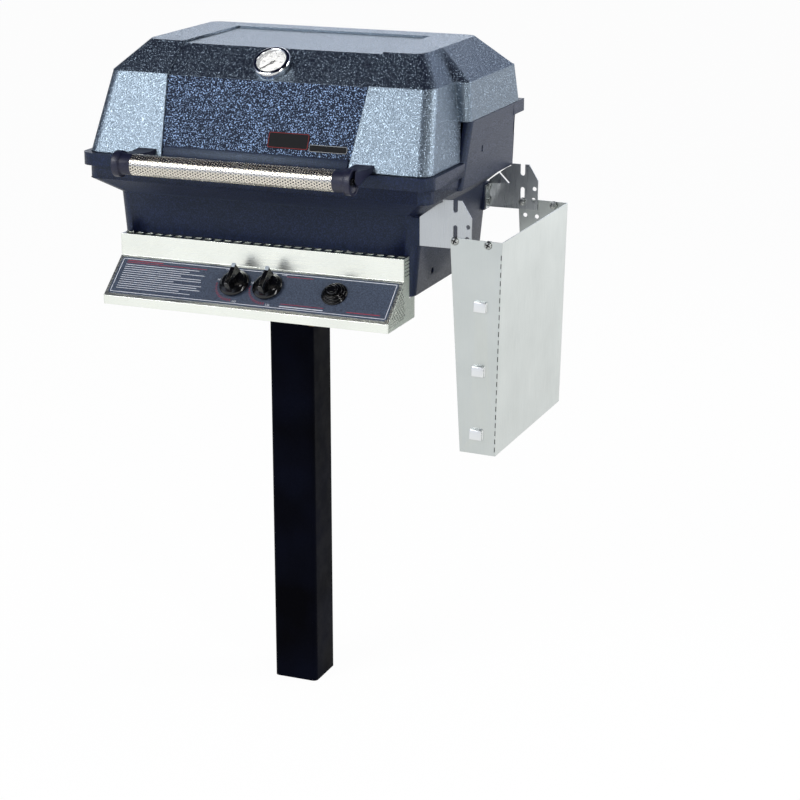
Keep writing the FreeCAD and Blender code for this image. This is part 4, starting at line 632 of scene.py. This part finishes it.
for vertex in tube.data.vertices:
    angle = vertex.co.y / TUBE_RADIUS
    vertex.co = TUBE_AXIS + Vector((vertex.co.x - columns * 1.5 * tile_corner, -TUBE_RADIUS * math.sin(angle),
                                    TUBE_RADIUS * math.cos(angle)))
alone(tube)
bpy.ops.object.mode_set(mode="EDIT")
for side in (-1, 1):
    bpy.ops.mesh.select_all(action="SELECT")
    bpy.ops.mesh.bisect(plane_co=(side * TUBE_HALF, 0, 0), plane_no=(side, 0, 0), clear_outer=True)
bpy.ops.mesh.select_all(action="SELECT")
bpy.ops.mesh.remove_doubles(threshold=0.00003)
bpy.ops.mesh.normals_make_consistent(inside=False)
bpy.ops.object.mode_set(mode="OBJECT")
first = tube.data.polygons[0]
if first.normal.dot(Vector((0, *(first.center - TUBE_AXIS)[1:]))) < 0:
    tube.data.flip_normals()
modify(tube, "SOLIDIFY", thickness=TUBE_WALL, offset=-1)
alone(tube)
bpy.ops.object.shade_smooth_by_angle(angle=math.radians(40))
stand_for(tube, "handle_perforated_tube", "lid", "stainless", tube_steel, "handle_tube")

# %% [markdown]
# The thermometer sits on the lid's front slope. Its chrome case is a stepped ring with a rolled lip; the white dial
# lies inside it with a scale of ticks and plain numbers.

# %% Thermometer case and dial
SLOPE_TILT = math.radians(37.69)
DIAL_FACE = 9.2
DIAL_PLACE = Matrix.Translation((0, -0.09774, 1.2057)) @ Matrix.Rotation(SLOPE_TILT, 4, "X")
case = turned([(33, 0), (34.2, 0.6), (34.6, 3), (35, 4), (35, 11), (34.7, 13.4), (33.8, 15.4), (32.4, 16.6),
               (30.6, 17), (28.6, 16.9), (27.4, 16.3), (27, 15.6), (27, 13.3), (30.5, 13.25), (30.5, 8.2)], 96)
tidy(case, 50)
settle(case, DIAL_PLACE)
stand_for(case, "thermometer_bezel", "lid", "chrome", chrome, "thermometer_case")
dial = turned([(30, 8.2), (30, 8.9), (29.6, DIAL_FACE)], 64)
tidy(dial, 40)
settle(dial, DIAL_PLACE)
stand_for(dial, "thermometer_dial_plate", "lid", "dial_white", dial_enamel, "thermometer_dial")

# %% [markdown]
# Print is modelled as thin solid strokes, so that it stays sharp at any distance. A helper makes a flat bar or a
# word in one plane; all of them are joined to one piece.

# %% Print helpers
PRINT_THICKNESS = 0.12 * MM


def bar(width, height, x, y, low, turn=0):
    """A thin flat bar in millimetres, turned about the origin after it is placed."""
    bpy.ops.object.select_all(action="DESELECT")
    bpy.ops.mesh.primitive_plane_add(size=1)
    piece = bpy.context.object
    piece.scale = (width * MM, height * MM, 1)
    piece.location = (x * MM, y * MM, low * MM)
    settle(piece)
    bpy.ops.object.mode_set(mode="EDIT")
    bpy.ops.mesh.select_all(action="SELECT")
    bpy.ops.mesh.extrude_region_move(TRANSFORM_OT_translate={"value": (0, 0, PRINT_THICKNESS)})
    bpy.ops.object.mode_set(mode="OBJECT")
    settle(piece, Matrix.Rotation(turn, 4, "Z"))
    return piece


def word(text, size, x, y, low):
    """A word as thin solid letters, centred on a point."""
    bpy.ops.object.select_all(action="DESELECT")
    bpy.ops.object.text_add(location=(x * MM, y * MM, low * MM))
    piece = bpy.context.object
    piece.data.body = text
    piece.data.size = size * MM
    piece.data.extrude = PRINT_THICKNESS / 2
    piece.data.align_x = piece.data.align_y = "CENTER"
    piece.data.resolution_u = 2
    bpy.ops.object.convert(target="MESH")
    piece = bpy.context.object
    settle(piece)
    return piece


def joined(pieces):
    """Joins meshes to one, the first of them active."""
    alone(pieces[0])
    for piece in pieces[1:]:
        piece.select_set(True)
    if len(pieces) > 1:
        bpy.ops.object.join()
    return bpy.context.object


# %% [markdown]
# The dial's scale sweeps 270 degrees in 50 steps, with a longer tick at every fifth, and plain numbers from 100 to
# 600 inside the ticks.

# %% Dial scale
START, TURN = math.radians(225), math.radians(270)
STEPS, NUMBER_RADIUS = 50, 17.2
marks = []
for index in range(STEPS + 1):
    length, width, radius = (3.2, 0.6, 23.4) if index % 5 == 0 else (1.7, 0.35, 24.1)
    marks.append(bar(length, width, radius, 0, DIAL_FACE, START - TURN * index / STEPS))
for index, number in enumerate(("100", "200", "300", "400", "500", "600")):
    angle = START - TURN * index / 5
    marks.append(word(number, 4.4, NUMBER_RADIUS * math.cos(angle), NUMBER_RADIUS * math.sin(angle), 9.26))
scale_marks = joined(marks)
tidy(scale_marks)
settle(scale_marks, DIAL_PLACE)
stand_for(scale_marks, "thermometer_scale", "lid", "needle_black", needle_black)

# %% [markdown]
# The panel's face slopes at 40 degrees. Everything on it is modelled flat, with Y up the slope and Z away from the
# face, and one matrix lays it on the face. X 0 is the grill's middle.

# %% Printed overlay
FACE_TILT = math.radians(39.806)
FACE_PLACE = Matrix.Translation((0, -0.172, 0.855)) @ Matrix.Rotation(FACE_TILT, 4, "X")
FILM = 0.8
bpy.ops.object.select_all(action="DESELECT")
bpy.ops.mesh.primitive_plane_add(size=1)
overlay = bpy.context.object
overlay_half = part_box("panel_overlay")[1][0]
overlay.scale = (overlay_half * 2, 82 * MM, 1)
overlay.location = (0, -46 * MM, 0)
settle(overlay)
overlay.data.materials.append(overlay_film)
overlay.data.materials.append(white_ink)
bpy.ops.object.mode_set(mode="EDIT")
bpy.ops.mesh.select_all(action="SELECT")
bpy.ops.mesh.bevel(affect="VERTICES", offset=5 * MM, segments=6)
bpy.ops.mesh.select_all(action="SELECT")
bpy.ops.mesh.extrude_region_move(TRANSFORM_OT_translate={"value": (0, 0, FILM * MM)})
for thickness, after in ((3.2, 1), (1.1, 0)):
    bpy.ops.mesh.inset(thickness=thickness * MM)
    overlay.active_material_index = after
    bpy.ops.object.material_slot_assign()
tidy(overlay)
settle(overlay, FACE_PLACE)
stand_for(overlay, "printed_overlay", "pedestal", "overlay_slate", None, "panel_overlay")

# %% [markdown]
# Print on the overlay: a block of plain white rules on the left, red rules, an arc of red dashes round each knob
# that widens from high to low, and OFF, HI and LO beside the knobs.

# %% Overlay print
KNOB_X, ROW = 33, -42
RULE_LENGTHS = (150, 132, 164, 118, 160, 162, 108, 166, 158, 166, 126, 150)
RULE_LEFT, RULE_TOP, RULE_STEP = -262, -21.5, 4.8
DASHES, WORD_SIZE, WORD_UP = 13, 6, 0.86
red_print = [bar(*rule, FILM) for rule in ((72, 1.6, -225, -12.5), (164, 1, -180, -16.5), (52, 1, 86, -14),
                                           (84, 1, 109, -74), (64, 1.6, 228, -77))]
white_print = [bar(length, 1, RULE_LEFT + length / 2, RULE_TOP - RULE_STEP * index, FILM)
               for index, length in enumerate(RULE_LENGTHS)]
white_print.append(bar(84, 1.6, 109, -79, FILM))
for x in (-KNOB_X, KNOB_X):
    for index in range(DASHES):
        angle = math.radians(182 + 7.6 * index)
        dash = bar(2.8 + index * 0.2, 1.4, 35, 0, FILM, angle)
        settle(dash, Matrix.Translation((x * MM, ROW * MM, 0)))
        red_print.append(dash)
    for text, across, up in (("OFF", 22 if x > 0 else -23, 31), ("HI", -34, 7), ("LO", 11, -37)):
        white_print.append(word(text, WORD_SIZE, x + across, ROW + up, WORD_UP))
for name, marks, material in (("panel_white_print", white_print, white_ink),
                              ("panel_red_print", red_print, red_ink)):
    print_piece = joined(marks)
    tidy(print_piece)
    settle(print_piece, FACE_PLACE)
    stand_for(print_piece, name, "pedestal", "overlay_slate", material)

# %% [markdown]
# Small blocks serve as starts for raised details and as cutters. A helper adds a cube between two corners that are
# given in millimetres.

# %% Box helper
def box_at(low, high):
    """A box between two corners in millimetres."""
    bpy.ops.object.select_all(action="DESELECT")
    bpy.ops.mesh.primitive_cube_add(size=1)
    piece = bpy.context.object
    piece.scale = [(b - a) * MM for a, b in zip(low, high)]
    piece.location = [(a + b) / 2 * MM for a, b in zip(low, high)]
    settle(piece)
    return piece


print("box helper ready")

# %% [markdown]
# A gas knob is a round skirt with a finger bar across it. The bar is a cube, narrowed at the top, and a boolean
# joins it to the skirt; a bevel then rounds every edge, which is what gives moulded phenolic its glints.

# %% Knobs
def knob_body():
    """The skirt and finger bar of one knob, pointing up the slope."""
    skirt = turned([(27.2, 4.2), (28, 5), (28, 7), (26.8, 9), (24, 11.4), (22, 12.2), (20.5, 14), (17, 15)], 64)
    tidy(skirt)
    bpy.ops.object.select_all(action="DESELECT")
    bpy.ops.mesh.primitive_cube_add(size=1, location=(0, 0, 21.2 * MM))
    finger = bpy.context.object
    finger.scale = (13 * MM, 50 * MM, 22 * MM)
    settle(finger)
    pick_faces(finger, lambda face: face.normal.z > 0.9)
    bpy.ops.transform.resize(value=(0.7, 0.9, 1))
    bpy.ops.object.mode_set(mode="OBJECT")
    modify(finger, "BEVEL", width=2.2 * MM, segments=3)
    modify(skirt, "BOOLEAN", operation="UNION", object=finger, solver="EXACT")
    bpy.data.objects.remove(finger)
    modify(skirt, "BEVEL", width=0.7 * MM, segments=2, limit_method="ANGLE", angle_limit=math.radians(40))
    tidy(skirt, 35, 0.00005)
    return skirt


def knob_tip():
    """The pale raised pointer at the top end of the finger bar."""
    tip = box_at((-3.7, 15.5, 27), (3.7, 24.6, 33.4))
    modify(tip, "BEVEL", width=1.6 * MM, segments=3)
    tidy(tip)
    return tip


for side, x in (("left", -KNOB_X), ("right", KNOB_X)):
    place = FACE_PLACE @ Matrix.Translation((x * MM, ROW * MM, 0))
    knob = knob_body()
    settle(knob, place)
    stand_for(knob, f"gas_knob_{side}", f"knob_{side}", "knob_black", knob_black, f"knob_{side}")
    tip = knob_tip()
    settle(tip, place)
    stand_for(tip, f"knob_tip_{side}", f"knob_{side}", "chrome", tip_paint, f"knob_pointer_{side}")

# %% [markdown]
# The igniter is a push button in a stepped collar, both of glossy black plastic.

# %% Igniter
IGNITER_X = 162
IGNITER = FACE_PLACE @ Matrix.Translation((IGNITER_X * MM, ROW * MM, 0))
collar = turned([(23.4, 0.8), (24, 1.4), (24, 3.2), (23, 4.4), (20.6, 4.8), (20.2, 5.2), (20.2, 7.4), (19.4, 8.4),
                 (17, 8.8), (16.6, 9.2), (16.6, 11.6), (15.8, 12.5), (12.4, 12.8), (11.5, 12.2), (11.4, 1.2)], 64)
tidy(collar)
settle(collar, IGNITER)
stand_for(collar, "igniter_collar", "pedestal", "panel_black", knob_black, "igniter_bezel")
button = turned([(11, 7.8), (11, 17.4), (10.6, 18.3), (9.8, 18.8), (7.4, 18.8), (6.8, 18.2), (2, 18)], 48)
tidy(button)
settle(button, IGNITER)
stand_for(button, "igniter_push_button", "igniter_button", "panel_black", knob_black, "igniter_button")

# %% [markdown]
# The badge plates on the sunk panel are blank: black enamel with cut corners and a thin border line, which is left
# when the face is inset twice.

# %% Badge plates
PLATE = 1.4
for node, name, line, inset in (("lid_badge", "blank_badge", plate_red, 1.6),
                                ("lid_name_plate", "blank_name_plate", plate_silver, 0.9)):
    low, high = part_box(node)
    wide, tall = (high[0] - low[0]), (high[2] - low[2]) / math.sin(FRONT_TILT)
    bpy.ops.object.select_all(action="DESELECT")
    bpy.ops.mesh.primitive_plane_add(size=1)
    plate = bpy.context.object
    plate.scale = (wide * 0.995, tall * 0.9, 1)
    settle(plate)
    plate.data.materials.append(plate_black)
    plate.data.materials.append(line)
    bpy.ops.object.mode_set(mode="EDIT")
    bpy.ops.mesh.select_all(action="SELECT")
    bpy.ops.mesh.bevel(affect="VERTICES", offset=2.5 * MM, segments=1)
    bpy.ops.mesh.select_all(action="SELECT")
    bpy.ops.mesh.extrude_region_move(TRANSFORM_OT_translate={"value": (0, 0, PLATE * MM)})
    for thickness, after in ((inset * 0.6, 1), (inset * 0.5, 0)):
        bpy.ops.mesh.inset(thickness=thickness * MM)
        plate.active_material_index = after
        bpy.ops.object.material_slot_assign()
    bpy.ops.object.mode_set(mode="OBJECT")
    tidy(plate)
    middle = Vector([(a + b) / 2 for a, b in zip(low, high)])
    turn = Matrix.Rotation(FRONT_TILT, 4, "X")
    settle(plate, Matrix.Translation(middle) @ turn @ Matrix.Translation((0, 0, -PLATE / 2 * MM)))
    stand_for(plate, name, "lid", "plate_silver", None, node)

# %% [markdown]
# A plain raised band runs along the foot of the sunk panel, in the firebox's finer coat.

# %% Band at the foot of the sunk panel
band = box_at((-180.5, 2, -3.9), (180.5, 21.5, -0.9))
modify(band, "BEVEL", width=1.4 * MM, segments=2)
tidy(band)
settle(band, Matrix.Translation(FRONT_POINT) @ Matrix.Rotation(FRONT_TILT, 4, "X"))
stand_for(band, "sunk_panel_band", "lid", "cast_black", smooth_coat)

# %% [markdown]
# Sheets are pierced with short slots. Each slot is a small box; all the boxes of a sheet are joined and one boolean
# cuts them at once. The cut faces are given a dark colour as a painted shadow, because a narrow slot holds a shadow.

# %% Slot cutting
# The dark colour of the cut faces is a painted shadow.
slot_shadow, tree, shader = finish("shadow in a narrow slot", "#0c0c0d", Roughness=0.9)
tree.links.new(tint(tree, grains(tree, 3), (0.3, "#08080a"), (0.7, "#141416")), shader.inputs["Base Color"])


def cut_with(piece, cutters):
    """Cuts a set of boxes out of a piece; the cut faces take a dark colour, which is a painted shadow."""
    cutter = joined(cutters)
    cutter.data.materials.clear()
    cutter.data.materials.append(slot_shadow)
    modify(piece, "BOOLEAN", operation="DIFFERENCE", object=cutter, solver="EXACT", material_mode="TRANSFER")
    bpy.data.objects.remove(cutter)


print("slot cutter ready")

# %% [markdown]
# Each end of the panel is closed by a sheet with slots that let combustion air in. Those under the slope follow it in
# offset rows, each row 6.5 mm below the one before. Beside the upright riser they are level.

# %% Vented end sheets
SHEET_X, SLOT_DEEP, SLOT_LONG = 280.4, 0.7, 2.4
SLOT_STEP, ROW_STEP, SLOT_TILT = 7, 6.5, math.radians(39.8)
for side, x in (("left", -SHEET_X), ("right", SHEET_X)):
    sheet = refined("panel_end_" + side, "stainless", panel_steel)
    slots = []
    for row in range(8):
        for step in range(13):
            along = 8 + step * SLOT_STEP + (SLOT_STEP / 2 if row % 2 else 0)
            down = 8 + row * ROW_STEP
            y = -172 - along * 0.7682 + down * 0.2
            z = 855 - along * 0.6402 - down
            if z > 787 and y < -126:
                slot = box_at((-SLOT_DEEP, -SLOT_LONG, -1), (SLOT_DEEP, SLOT_LONG, 1))
                settle(slot, Matrix.Translation((x * MM, y * MM, z * MM)) @ Matrix.Rotation(SLOT_TILT, 4, "X"))
                slots.append(slot)
    for row in range(5):
        for step in range(3):
            y, z = -165 + step * SLOT_STEP, 888 - row * ROW_STEP
            slots.append(box_at((x - SLOT_DEEP, y, z), (x + SLOT_DEEP, y + 4.8, z + 2)))
    cut_with(sheet, slots)
    print(sheet.name, len(sheet.data.polygons), "faces after the slots")

# %% [markdown]
# The folded side shelf keeps its CAD shape. Its front fold is pierced with short slots so that the sheet bends on a
# sharp line.

# %% Side shelf
HANG = math.radians(1.3)
SHELF_PLACE = Matrix.Translation((0.3654, 0, 0.93)) @ Matrix.Rotation(HANG, 4, "Y")
FOLD_SLOTS, FOLD_STEP = 24, 15.2
shelf = refined("shelf_panel", "stainless", shelf_steel)
fold_slots = []
for index in range(FOLD_SLOTS):
    z = -16 - index * FOLD_STEP
    slot = box_at((85.6, -148.4, z - 9), (87, -146.2, z))
    settle(slot, SHELF_PLACE)
    fold_slots.append(slot)
cut_with(shelf, fold_slots)
print("shelf faces", len(shelf.data.polygons))

# %% [markdown]
# Each lanced hook is a pressed tongue that stands 5 mm proud, drawn as a cube whose face is inset and rounded, and it
# catches the light like a small cushion. Its steel is lighter than the shelf's, as a painted highlight.

# %% Hooks of the shelf
HOOK_HEIGHTS = (-112, -229, -346)
# The hooks' lighter steel colour is a painted highlight.
hook_highlight_steel = brushed("pressed hook, polished by the tool", "#eceeee", "x", gloss=0.42)
hooks = []
for z in HOOK_HEIGHTS:
    hook = box_at((39.6, -152.3, z - 9.6), (63, -146.4, z + 9.6))
    pick_faces(hook, lambda face: face.normal.y < -0.9)
    bpy.ops.mesh.inset(thickness=2.4 * MM)
    bpy.ops.transform.translate(value=(0, -0.6 * MM, 0))
    bpy.ops.object.mode_set(mode="OBJECT")
    modify(hook, "BEVEL", width=1.6 * MM, segments=3, limit_method="ANGLE", angle_limit=math.radians(20))
    settle(hook, SHELF_PLACE)
    hooks.append(hook)
hook = joined(hooks)
tidy(hook, 40)
stand_for(hook, "shelf_hooks", "shelf", "stainless", hook_highlight_steel)

# %% [markdown]
# The shelf's screws keep their CAD shape, and a cross of two boxes is cut into each head for the driver.

# %% Drives of the shelf's screws
CROSS_LONG, CROSS_NARROW, CROSS_DEEP, CROSS_TURN = 4.6, 1.2, 1.6, 0.45
for node in ("pivot_screws", "lock_screws"):
    screws = refined(node, "fastener_steel", zinc)
    low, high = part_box(node)
    middle = (Matrix.Translation(((low[0] + high[0]) / 2, 0, (low[2] + high[2]) / 2))
              @ Matrix.Rotation(CROSS_TURN, 4, "Y"))
    for end in (low[1], high[1]):
        for wide, tall in ((CROSS_LONG, CROSS_NARROW), (CROSS_NARROW, CROSS_LONG)):
            groove = box_at((-wide, end / MM - CROSS_DEEP, -tall), (wide, end / MM + CROSS_DEEP, tall))
            settle(groove, middle)
            cut_with(screws, [groove])
    print(node, len(screws.data.polygons), "faces with their drives")
